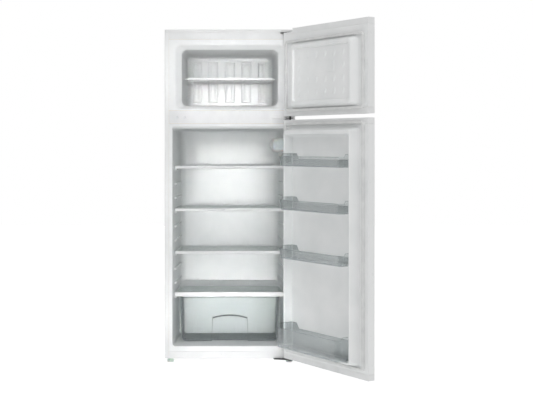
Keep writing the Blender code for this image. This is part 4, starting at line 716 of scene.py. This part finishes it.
def gasket(door, opening):
    """Magnetic gasket: foot, folded bellows and the flat magnet pocket that meets the cabinet."""
    bottom, top = opening[0] - GASKET_LAP, opening[1] + GASKET_LAP
    profile = [(0.6, 0.3), (0.0, 2.2), (1.6, 3.6), (0.4, 5.0), (1.4, 6.4), (0.2, 8.2), (0.6, 10.6),
               (2.4, 11.4), (8.6, 11.4), (10.6, 10.4), (11.0, 8.0), (9.6, 6.2), (10.8, 4.8), (9.8, 3.4),
               (12.6, 1.6), (12.4, 0.3)]
    bm = bmesh.new()
    loops = [frame_loop(bm, GASKET_HALF - inset * MM, bottom + inset * MM, top - inset * MM,
                        max(18 - inset, 3) * MM, DOOR_BACK + height * MM, 5) for inset, height in profile]
    skin(bm, loops, closed=True)
    outward(bm)
    finish(f"{door}_seal", bm, "gasket_rubber", [f"{door}_gasket"], turn=DOOR_ANGLE, angle=50)


fridge_door_face()
freezer_door_face()
gasket("fridge_door", (FRIDGE_SILL, FRIDGE_LINTEL))
gasket("freezer_door", (FREEZER_SILL, FREEZER_LINTEL))


# ---- cabinet -------------------------------------------------------------------------

def shelf(name):
    """Glass shelf: moulded frame with a rounded front trim, its finger notch, and the pane."""
    frame_node, glass_node = f"{name}_frame", f"{name}_glass"
    front = low(frame_node).y - FRONT_Y

    def notch(bm):
        bottom = low(frame_node).z
        for x in (-21.5 * MM, -17 * MM, 17 * MM, 21.5 * MM):      # ends of the notch's two slopes
            faces = picked(bm, lambda place, normal: place.y < front + 20 * MM)
            split(bm, faces, cabinet_point(x, 0, 0), (1, 0, 0))
        for vert in bm.verts:
            place = local(vert.co)
            if abs(place.x) < 18 * MM and place.z < bottom + 1 * MM and place.y < front + 18 * MM:
                vert.co.z += 4 * MM

    refined(frame_node, "white_plastic", 1.6 * MM, 3, trim=notch if name != "drawer_lid" else None)
    refined(glass_node, "clear_glass", 0.6 * MM, 2)


def freezer_wire_shelf():
    """Wire shelf: bent outer frame, cross bars and fifteen wires, dipped in white plastic."""
    corner, far = low("freezer_shelf"), high("freezer_shelf")
    half = (far.x - corner.x) / 2
    front, back = corner.y - FRONT_Y, far.y - FRONT_Y
    z = corner.z + 3.6 * MM
    bm = bmesh.new()
    thick, thin = 2.6 * MM, 1.7 * MM
    corners = [cabinet_point(x, depth, z) for x, depth in (
        (thick - half, front + thick), (half - thick, front + thick),
        (half - thick, back - thick), (thick - half, back - thick))]
    tube(bm, bend(corners, 18 * MM, closed=True), thick, closed=True)
    for depth in (front + thick, front + (back - front) * 0.36, front + (back - front) * 0.68):
        drop = 0.0 if depth < front + 5 * MM else -thick
        bar(bm, cabinet_point(-half + thick, depth, z + drop),
            cabinet_point(half - thick, depth, z + drop), 2.2 * MM, 12)
    rail = box(bm, cabinet_point(-half + 12 * MM, front, corner.z),
               cabinet_point(half - 12 * MM, front + 3 * MM, far.z))
    crease(bm, 1.2 * MM, 3, 40, edges_of(rail))
    wires, level = 15, z + 2.4 * MM
    for index in range(wires):
        x = (index - (wires - 1) / 2) * (2 * half - 30 * MM) / wires
        bar(bm, cabinet_point(x, front + 2 * MM, level), cabinet_point(x, back - 3 * MM, level), thin, 10)
    finish("freezer_wire_shelf", bm, "white_plastic", ["freezer_shelf"])


for name in ("shelf_1", "shelf_2", "shelf_3", "drawer_lid"):
    shelf(name)
freezer_wire_shelf()

for node, offset in (("left_side_panel", 0.3), ("right_side_panel", 0.3), ("front_bottom_beam", 0.5)):
    refined(node, "white_enamel", offset * MM)
for node, offset in (("top_cover", 2.2), ("top_front_rail", 2.0), ("mullion_cover", 2.0)):
    refined(node, "white_plastic", offset * MM, 3)
for door in ("fridge_door", "freezer_door"):
    refined(f"{door}_skin", "white_enamel", 0.3 * MM)
    for end in ("top", "bottom"):
        refined(f"{door}_{end}_cap", "white_plastic", 1.2 * MM, 3)


# ---- racks and drawer ----------------------------------------------------------------

def door_rack(node, front):
    """Clear door rack: trough with tall ends, sloped shoulders behind, a rim bead, floor and end ribs."""
    floor, half = low_closed(node)[2], 0.2086
    top = high_closed(node)[2]
    near, wall, corner, draft = RECESS + 0.3 * MM, 2 * MM, 20 * MM, 4 * MM
    front_z, rear_z = top - 11 * MM, top - 23 * MM
    bm = bmesh.new()
    verts = box(bm, cabinet_point(-half, near, floor), cabinet_point(half, front, top))
    for vert in verts:
        if vert.co.z < floor + MM:
            vert.co.x -= draft if vert.co.x > CENTRE_X else -draft
            if local(vert.co).y > near + 0.01:
                vert.co.y -= draft
    bmesh.ops.delete(bm, geom=[face for face in bm.faces if face.calc_center_median().z > top - MM],
                     context="FACES_ONLY")
    uprights = [edge for edge in bm.edges if local(edge.verts[0].co).y > near + 0.01
                and local(edge.verts[1].co).y > near + 0.01
                and abs(edge.verts[0].co.z - edge.verts[1].co.z) > 0.02]
    round_edges(bm, uprights, corner, 8)
    for side in (-1, 1):
        for x in (half - 46 * MM, half - 30 * MM):
            split(bm, picked(bm, lambda place, normal: place.y < near + 2 * MM),
                  cabinet_point(side * x, 0, 0), (1, 0, 0))
    shoulder = front - corner - 6 * MM
    split(bm, picked(bm, lambda place, normal: abs(place.x) > half - 8 * MM and abs(normal.x) > 0.9),
          cabinet_point(0, shoulder, 0), (0, 1, 0))
    for vert in bm.verts:
        place = local(vert.co)
        if place.z > top - MM:
            if place.y < near + 2 * MM and abs(place.x) < half - 45 * MM:
                vert.co.z = rear_z
            elif place.y > shoulder + 2 * MM:
                vert.co.z = front_z
    base = [edge for edge in bm.edges if all(vert.co.z < floor + MM for vert in edge.verts)]
    round_edges(bm, base, 5 * MM, 4)
    outward(bm)
    facing(bm, (0, 0, -1), picked(bm, lambda place, normal: abs(normal.z) > 0.95))
    rim = [edge for edge in bm.edges if len(edge.link_faces) == 1]
    line = ordered(rim)
    bmesh.ops.solidify(bm, geom=bm.faces[:], thickness=wall)
    tube(bm, [point + Vector((0, 0, -1.0 * MM)) for point in line], 1.7 * MM, closed=True)
    for side in (-1, 1):
        for index in range(3):
            at = near + 10 * MM + index * 9 * MM
            bar(bm, cabinet_point(side * (half - 2.4 * MM), at, floor + 14 * MM),
                cabinet_point(side * (half - 2.0 * MM), at, top - 3 * MM), 1.3 * MM, 8)
    for index in range(4):
        at = near + (front - near) * (index + 1) / 5
        bar(bm, cabinet_point(20 * MM - half, at, floor + 1.9 * MM),
            cabinet_point(half - 20 * MM, at, floor + 1.9 * MM), 0.9 * MM, 8)
    finish(node + "_moulding", bm, "clear_plastic", [node], turn=DOOR_ANGLE, angle=40)


def ordered(edges):
    """Points of a closed line of edges, one after another."""
    links = {}
    for edge in edges:
        for vert in edge.verts:
            links.setdefault(vert, []).append(edge.other_vert(vert))
    first = next(iter(links))
    line, before, at = [first], None, first
    while True:
        following = [vert for vert in links[at] if vert is not before]
        before, at = at, following[0]
        if at is first:
            return [vert.co.copy() for vert in line]
        line.append(at)


def closed_box(node):
    """Box of a door's node with the door closed, in cabinet measures."""
    back = Matrix.Translation(PIN) @ Matrix.Rotation(-DOOR_ANGLE, 4, "Z") @ Matrix.Translation(-PIN)
    points = [local(back @ vert.co) for vert in frame["nodes"][node].data.vertices]
    return [(min(point[axis] for point in points), max(point[axis] for point in points))
            for axis in range(3)]


def low_closed(node):
    return [span[0] for span in closed_box(node)]


def high_closed(node):
    return [span[1] for span in closed_box(node)]


def crisper():
    """Clear crisper drawer with an arched finger recess in its front, and the bead round its rim."""
    refined("crisper_drawer", "clear_plastic", 0.8 * MM, 2)
    top = high("crisper_drawer").z
    half, front, back, bead = 0.217, 0.092, 0.300, 1.5 * MM
    rim = bmesh.new()
    corners = [cabinet_point(x, depth, top - bead) for x, depth in (
        (bead - half, front + bead), (half - bead, front + bead),
        (half - bead, back - bead), (bead - half, back - bead))]
    tube(rim, bend(corners, 21 * MM, closed=True), bead, closed=True)
    finish("crisper_rim_bead", rim, "clear_plastic", body="crisper_drawer", angle=40)


for name, front in (("door_rack_1", 69), ("door_rack_2", 69), ("door_rack_3", 69), ("bottle_rack", 85)):
    door_rack(name, front * MM)
crisper()


# ---- thermostat, hinges and feet -----------------------------------------------------

def span(node):
    """Left, right, front, back, bottom and top of a node, in cabinet measures."""
    corner, far = low(node), high(node)
    return (corner.x - CENTRE_X, far.x - CENTRE_X, corner.y - FRONT_Y, far.y - FRONT_Y,
            corner.z, far.z)


def moulded_box(stations, left, right, bottom, top, radius):
    """Round-cornered box against the right wall, from (depth, shrink in millimetres) stations."""
    bm = bmesh.new()
    loops = []
    for depth, shrink in stations:
        width = right - left - shrink * MM
        loops.append(loop(bm, across(depth, (bottom + top) / 2, right - width / 2), width,
                          top - bottom - 2 * shrink * MM, radius, 7))
    skin(bm, loops)
    cap(bm, loops[0])
    return bm, loops


def thermostat():
    """Thermostat housing with its side ribs, the ribbed lamp lens, and the knob with its pointer."""
    left, _, front, back, bottom, top = span("thermostat_housing")
    right = wall_half(front) - 0.5 * MM
    bm, loops = moulded_box([(front, 3.0), (front + 1.2 * MM, 1.0), (front + 4 * MM, 0.0),
                             (back - 8 * MM, 0.0), (back - 2 * MM, 2.5), (back, 8.0)],
                            left, right, bottom, top, 20 * MM)
    cap(bm, loops[-1])
    outward(bm)
    for index in range(7):
        at = front + (index + 2) * (back - front) / 14
        if abs(at - (front + back) / 2) > 19 * MM:       # the knob's place stays free
            bar(bm, cabinet_point(left + 0.4 * MM, at, bottom + 22 * MM),
                cabinet_point(left + 0.4 * MM, at, top - 22 * MM), 0.9 * MM, 8)
    finish("thermostat_box", bm, "white_plastic", ["thermostat_housing"])

    left, _, front, back, bottom, top = span("lamp_cover")
    right = wall_half(front) - 1.0 * MM
    bm, _ = moulded_box([(front, 11.0), (front + 2 * MM, 6.0), (front + 6 * MM, 2.4),
                         (front + 11 * MM, 0.4), (back, 0.0)], left, right, bottom, top, 18 * MM)
    outward(bm)
    facing(bm, (0, -1, 0), picked(bm, lambda place, normal: place.y < front + MM))
    for index in range(9):
        x = left + 8 * MM + index * (right - left - 14 * MM) / 8
        bar(bm, cabinet_point(x, front + 0.6 * MM, bottom + 12 * MM),
            cabinet_point(x, front + 0.6 * MM, top - 12 * MM), 1.2 * MM, 8)
    finish("lamp_lens", bm, "milky_plastic", ["lamp_cover"], wall=1.2 * MM)

    corner, far = low("thermostat_knob"), high("thermostat_knob")
    middle = (corner + far) / 2
    radius = (far.z - corner.z) / 2
    bm = bmesh.new()
    lathe(bm, [(0.0, 0.0), (radius, 0.0), (radius, 1.4 * MM), (radius - 0.6 * MM, 2.2 * MM),
               (radius - 2.2 * MM, 6.2 * MM), (radius - 3.2 * MM, 6.9 * MM), (0.0, 7.0 * MM)],
          (far.x, middle.y, middle.z), (-1, 0, 0), (0, 1, 0), 48)
    outward(bm)
    for index in range(20):
        angle = 2 * pi * index / 20
        around = Vector((0, cos(angle), sin(angle)))
        bar(bm, Vector((far.x - 1.6 * MM, middle.y, middle.z)) + around * (radius - 0.9 * MM),
            Vector((far.x - 5.6 * MM, middle.y, middle.z)) + around * (radius - 2.2 * MM), 0.9 * MM, 8)
    pointer = box(bm, Vector((corner.x, middle.y - 1.3 * MM, middle.z)),
                  Vector((far.x - 6 * MM, middle.y + 1.3 * MM, far.z - 3 * MM)))
    crease(bm, 0.5 * MM, 2, 60, edges_of(pointer))
    finish("thermostat_dial", bm, "white_plastic", ["thermostat_knob"])


def foot(node):
    """Levelling foot: hollow-ribbed polypropylene disc on a zinc-plated stud."""
    corner, far = low(node), high(node)
    middle = (corner + far) / 2
    radius = (far.x - corner.x) / 2
    disc = min(18 * MM, far.z * 0.8)
    bm = bmesh.new()
    lathe(bm, [(0.0, 0.0), (radius - 2 * MM, 0.0), (radius - 0.4 * MM, 1.0 * MM), (radius, 2.4 * MM),
               (radius, 10 * MM), (radius - 0.8 * MM, 11.5 * MM), (radius - 5 * MM, 12.5 * MM),
               (radius - 5.4 * MM, disc), (4.4 * MM, disc), (4.0 * MM, disc + 0.6 * MM),
               (0.0, disc + 0.6 * MM)],
          (middle.x, middle.y, 0.0), steps=40)
    outward(bm)
    for index in range(18):
        angle = 2 * pi * index / 18
        around = Vector((cos(angle), sin(angle), 0)) * (radius - 0.7 * MM)
        bar(bm, Vector((middle.x, middle.y, 2.5 * MM)) + around,
            Vector((middle.x, middle.y, 10.4 * MM)) + around, 1.0 * MM, 8)
    finish(node + "_disc", bm, "milky_plastic", [node])
    bm = bmesh.new()
    height, pitch = disc, 1.2 * MM
    while height < far.z - 1.5 * MM:
        thread = [(3.0 * MM, height), (3.9 * MM, height + pitch / 2), (3.0 * MM, height + pitch)]
        lathe(bm, thread, (middle.x, middle.y, 0.0), steps=20)
        height += pitch
    bar(bm, (middle.x, middle.y, disc - MM), (middle.x, middle.y, far.z - 0.2 * MM), 3.2 * MM, 20)
    outward(bm)
    finish(node + "_stud", bm, "galvanised", body=node)


thermostat()
for node in ("left_front_foot", "right_front_foot"):
    foot(node)
for node in ("top_hinge", "bottom_hinge"):
    refined(node, "black_enamel", 0.5 * MM, 2)
for node in ("left_screw_cap", "right_screw_cap"):
    corner, far = low(node), high(node)
    radius = (far.x - corner.x) / 2
    bm = bmesh.new()
    lathe(bm, [(0.0, 0.0), (radius, 0.0), (radius, 0.6 * MM), (radius - 0.7 * MM, 1.3 * MM),
               (radius - 2.4 * MM, 1.7 * MM), (0.0, 1.75 * MM)],
          ((corner.x + far.x) / 2, far.y, (corner.z + far.z) / 2), (0, -1, 0), steps=32)
    outward(bm)
    finish(node + "_plug", bm, "milky_plastic", [node])


def middle_hinge():
    """Middle hinge: white flange screwed to the cabinet, black arm with the pin."""
    seam = cabinet_point(0.237, 0, 0)
    for name, slot, keep in (("middle_hinge_flange", "white_enamel", 1),
                             ("middle_hinge_arm", "black_enamel", -1)):
        bm = node_shape("middle_hinge")
        geom = bm.verts[:] + bm.edges[:] + bm.faces[:]
        bmesh.ops.bisect_plane(bm, geom=geom, dist=1e-6, plane_co=seam, plane_no=(keep, 0, 0),
                               clear_outer=True)
        bmesh.ops.holes_fill(bm, edges=[edge for edge in bm.edges if len(edge.link_faces) == 1])
        outward(bm)
        crease(bm, 0.4 * MM, 2)
        finish(name, bm, slot, ["middle_hinge"])


middle_hinge()


# ---- back of the cabinet -------------------------------------------------------------

COMPRESSOR_PLACE = (0.060, 0.424)        # cabinet x and depth of its middle
COMPRESSOR_REACH = 0.0815                # half its width over the shell


def compressor():
    """Welded compressor shell with its seam, and its foot plate on rubber mounts."""
    corner, far = low("compressor"), high("compressor")
    centre = cabinet_point(*COMPRESSOR_PLACE, 0.0)
    radius, stretch, height = 66 * MM, 1.25, 0.150
    bottom = far.z - height
    bm = bmesh.new()
    # Share of the radius and height in metres, with the welded seam half way up.
    outline = [(0.0, 0.0), (0.40, 0.0), (0.58, 0.004), (0.74, 0.010), (0.86, 0.019), (0.94, 0.032),
               (0.96, 0.046), (0.96, 0.076), (0.985, 0.0775), (1.0, 0.079), (1.0, 0.086),
               (0.985, 0.0875), (0.94, 0.089), (0.93, 0.104), (0.89, 0.120), (0.81, 0.133),
               (0.68, 0.142), (0.50, 0.1475), (0.28, 0.1497), (0.0, height)]
    lathe(bm, [(share * radius, bottom + rise) for share, rise in outline], (centre.x, centre.y, 0.0),
          steps=64)
    bmesh.ops.scale(bm, vec=(stretch, 1, 1), space=Matrix.Translation((-centre.x, 0, 0)), verts=bm.verts)
    outward(bm)
    finish("compressor_shell", bm, "black_enamel", ["compressor"], angle=30)

    bm = bmesh.new()
    box(bm, (centre.x - 0.095, centre.y - 0.050, bottom + 1 * MM),
        (centre.x + 0.095, centre.y + 0.040, bottom + 4 * MM))
    crease(bm, 9 * MM, 5, 60, [edge for edge in bm.edges
                               if abs(edge.verts[0].co.z - edge.verts[1].co.z) > 2 * MM])
    crease(bm, 0.6 * MM, 2, 60)
    finish("compressor_foot_plate", bm, "black_enamel", body="cabinet")
    bm = bmesh.new()
    for x, y in ((-0.082, -0.040), (0.082, -0.040), (-0.082, 0.030), (0.082, 0.030)):
        lathe(bm, [(0.0, corner.z), (9.5 * MM, corner.z), (11 * MM, corner.z + 1.5 * MM),
                   (8 * MM, corner.z + 6 * MM), (8 * MM, corner.z + 9 * MM), (11 * MM, corner.z + 12 * MM),
                   (11 * MM, bottom + 0.8 * MM), (6 * MM, bottom + 6 * MM), (0.0, bottom + 6 * MM)],
              (centre.x + x, centre.y + y, 0.0), steps=20)
    outward(bm)
    finish("compressor_rubber_mounts", bm, "black_plastic", body="cabinet")


def pipes():
    """Copper lines: discharge to the condenser, drier with its capillary, suction line up the back."""
    drier_low, drier_high = low("filter_drier"), high("filter_drier")
    middle = (drier_low + drier_high) / 2
    bm = bmesh.new()
    foot = drier_low.z
    lathe(bm, [(0.0, foot), (2.5 * MM, foot), (2.5 * MM, foot + 12 * MM), (5 * MM, foot + 16 * MM),
               (9 * MM, foot + 21 * MM), (9 * MM, foot + 104 * MM), (7 * MM, foot + 111 * MM),
               (3 * MM, foot + 117 * MM), (3 * MM, drier_high.z), (0.0, drier_high.z)],
          (middle.x, middle.y, 0.0), steps=32)
    outward(bm)
    finish("filter_drier_body", bm, "copper", ["filter_drier"])

    bm = bmesh.new()
    shell = Vector((cabinet_point(COMPRESSOR_PLACE[0] - COMPRESSOR_REACH, 0.0, 0.0).x, middle.y,
                    low("compressor").z + 55 * MM))
    end = Vector((middle.x, middle.y, drier_high.z))
    # Start, bend radius, pipe radius and corners in millimetres: discharge, suction, capillary.
    for start, turn, radius, corners in (
            (shell, 9, 2.5, ((4, 20, 20), (-14, 20, 20), (-14, 20, -22), (-30, 22, -22))),
            (shell, 12, 3.2, ((6, -10, 8), (-22, -10, 8), (-22, -10, 120))),
            (end, 7, 1.1, ((0, 0, -2), (0, 0, 9), (-16, 0, 9), (-16, 0, -40)))):
        tube(bm, bend([start + Vector(corner) * MM for corner in corners], turn * MM), radius * MM)
    finish("copper_lines", bm, "copper", body="cabinet")


def condenser():
    """Wire condenser: serpentine tube with upright wires spot-welded on both faces."""
    corner, far = low("condenser"), high("condenser")
    radius = 2.5 * MM
    y = (corner.y + far.y) / 2
    bottom, top = corner.z + radius, far.z - radius
    pitch = 80 * MM
    runs = round((top - bottom) / pitch) + 1
    half = (far.x - corner.x) / 2 - radius
    centre = (corner.x + far.x) / 2
    turn = pitch / 2
    line = []
    for run in range(runs):
        z = bottom + run * pitch
        side = 1 if run % 2 == 0 else -1
        line += [Vector((centre - side * (half - turn), y, z)),
                 Vector((centre + side * (half - turn), y, z))]
        if run < runs - 1:
            line += [Vector((centre + side * (half - turn + turn * sin(pi * step / 10)), y,
                             z + turn - turn * cos(pi * step / 10))) for step in range(1, 10)]
    bm = bmesh.new()
    tube(bm, line, radius)
    finish("condenser_serpentine", bm, "black_enamel", ["condenser"])
    bm = bmesh.new()
    count = 46
    wire = 0.7 * MM
    for face in (-1, 1):
        for index in range(count):
            x = centre + (index - (count - 1) / 2) * (2 * (half - turn)) / count
            at = y + face * (radius + wire * 0.7)
            bar(bm, (x, at, bottom - 12 * MM), (x, at, top + 12 * MM), wire, 6)
    finish("condenser_wires", bm, "black_enamel", body="cabinet")


def back_sheet():
    """Back panel of galvanised sheet with a shallow pressed field."""
    def field(bm):
        outer = max(bm.faces, key=lambda face: face.calc_area() * (face.normal.y > 0.9))
        for inward, rise in ((18 * MM, 0.0), (3 * MM, -0.25 * MM)):
            bmesh.ops.inset_region(bm, faces=[outer], thickness=inward, depth=rise,
                                   use_even_offset=True, use_boundary=True)
    refined("back_panel", "galvanised", 0.2 * MM, 1, trim=field)


compressor()
pipes()
condenser()
back_sheet()
for node, slot, offset in (("compressor_tray", "galvanised", 0.4), ("bottom_panel", "galvanised", 0.2),
                           ("evaporator_plate", "aluminium", 0.2), ("relay_cover", "black_plastic", 1.2),
                           ("cord_gland", "black_plastic", 0.8), ("drip_tray", "black_plastic", 0.8),
                           ("left_condenser_bracket", "black_enamel", 0.5),
                           ("left_rear_foot", "black_plastic", 0.8),
                           ("right_condenser_bracket", "black_enamel", 0.5),
                           ("right_rear_foot", "black_plastic", 0.8)):
    refined(node, slot, offset * MM, 2)
for node in ("cabinet_foam", "fridge_door_foam", "freezer_door_foam"):
    frame["nodes"][node].data.materials.clear()
    frame["nodes"][node].data.materials.append(MATERIALS["foam"])


# ---- camera, light and floor -------------------------------------------------------------

FLOOR_SIDE = 16.0
GRID_DISTANCE = 2.6      # lamps with a narrow fan, which reach the back of the open cabinet
GRID_WIDTH = 0.46
GRID_FAN = 10
GRIDS = (("drawer_grid_light", 0.17, 0.16, 0.23), ("fridge_grid_light", 0.57, 0.70, 0.26),
         ("freezer_grid_light", 1.218, 0.20, 0.18))      # name, height, size and power
EYE_DISTANCE, EYE_HEIGHT = 4.7, 0.928


def studio():
    """Pale floor in a white room, soft area lights and the camera."""
    bm = bmesh.new()
    bmesh.ops.create_grid(bm, x_segments=1, y_segments=1, size=0.5,
                          matrix=Matrix.Diagonal((FLOOR_SIDE, FLOOR_SIDE, 1.0, 1.0)))
    material, tree, output, place = new_material("pale studio floor")
    grain = speckle(tree, place, 0.4)
    shader = add_node(tree, "ShaderNodeBsdfPrincipled", {
        "Emission Color": hex_colour("#FFFFFF"), "Emission Strength": 0.42}, {
        "Base Color": ramp_colour(tree, grain.outputs["Fac"], "#F9F9F9", "#FCFCFC"),
        "Roughness": spread(tree, grain.outputs["Fac"], 0.7, 0.85)})
    lit = add_node(tree, "ShaderNodeEmission", {"Color": hex_colour("#FFFFFF"), "Strength": 1.15})
    seen = add_node(tree, "ShaderNodeLightPath").outputs["Is Camera Ray"]
    share = add_node(tree, "ShaderNodeMath", {1: 0.75}, {0: seen})
    share.operation = "MULTIPLY"
    shown = add_node(tree, "ShaderNodeMixShader", links={
        "Fac": share.outputs["Value"], 1: shader.outputs["BSDF"], 2: lit.outputs["Emission"]})
    tree.links.new(shown.outputs["Shader"], output.inputs["Surface"])
    mesh = bpy.data.meshes.new("studio_floor")
    bm.to_mesh(mesh)
    bm.free()
    mesh.materials.append(material)
    floor = bpy.data.objects.new("studio_floor", mesh)
    bpy.context.scene.collection.objects.link(floor)

    world = bpy.data.worlds.new("studio")
    world.use_nodes = True
    room = world.node_tree
    room.nodes.clear()
    white = hex_colour("#FFFFFF")
    soft = add_node(room, "ShaderNodeBackground", {"Color": white, "Strength": 0.34})
    backdrop = add_node(room, "ShaderNodeBackground", {"Color": white, "Strength": 1.0})
    seen = add_node(room, "ShaderNodeLightPath").outputs["Is Camera Ray"]
    both = add_node(room, "ShaderNodeMixShader", links={
        "Fac": seen, 1: soft.outputs["Background"], 2: backdrop.outputs["Background"]})
    add_node(room, "ShaderNodeOutputWorld", links={"Surface": both.outputs["Shader"]})
    bpy.context.scene.world = world
    bpy.context.scene.view_settings.view_transform = "Standard"

    def lamp(name, place, target, size, power, fan=180):
        data = bpy.data.lights.new(name, "AREA")
        data.shape = "RECTANGLE"
        data.size, data.size_y = size
        data.energy = power
        data.spread = radians(fan)
        light = bpy.data.objects.new(name, data)
        light.location = place
        light.rotation_euler = (Vector(target) - Vector(place)).to_track_quat("-Z", "Y").to_euler()
        light.visible_camera = False
        bpy.context.scene.collection.objects.link(light)

    lamp("front_softbox", (0.8, -4.0, 3.0), (-0.1, 0.0, 0.75), (2.2, 1.8), 38)
    lamp("top_softbox", (-0.6, -1.2, 3.6), (-0.1, 0.0, 0.6), (3.0, 3.0), 26)

    for name, z, height, power in GRIDS:
        lamp(name, cabinet_point(0, -GRID_DISTANCE, z), cabinet_point(0, 0.3, z), (GRID_WIDTH, height),
             power, GRID_FAN)

    camera = bpy.data.cameras.new("camera")
    camera.sensor_width = 36.0
    camera.lens = 74.6
    camera.shift_x = 0.073
    camera.shift_y = -0.103
    camera.clip_end = 60.0
    view = bpy.data.objects.new("camera", camera)
    view.location = cabinet_point(-0.01, -EYE_DISTANCE, EYE_HEIGHT)
    view.rotation_euler = (pi / 2, 0.0, 0.0)
    bpy.context.scene.collection.objects.link(view)
    bpy.context.scene.camera = view


studio()
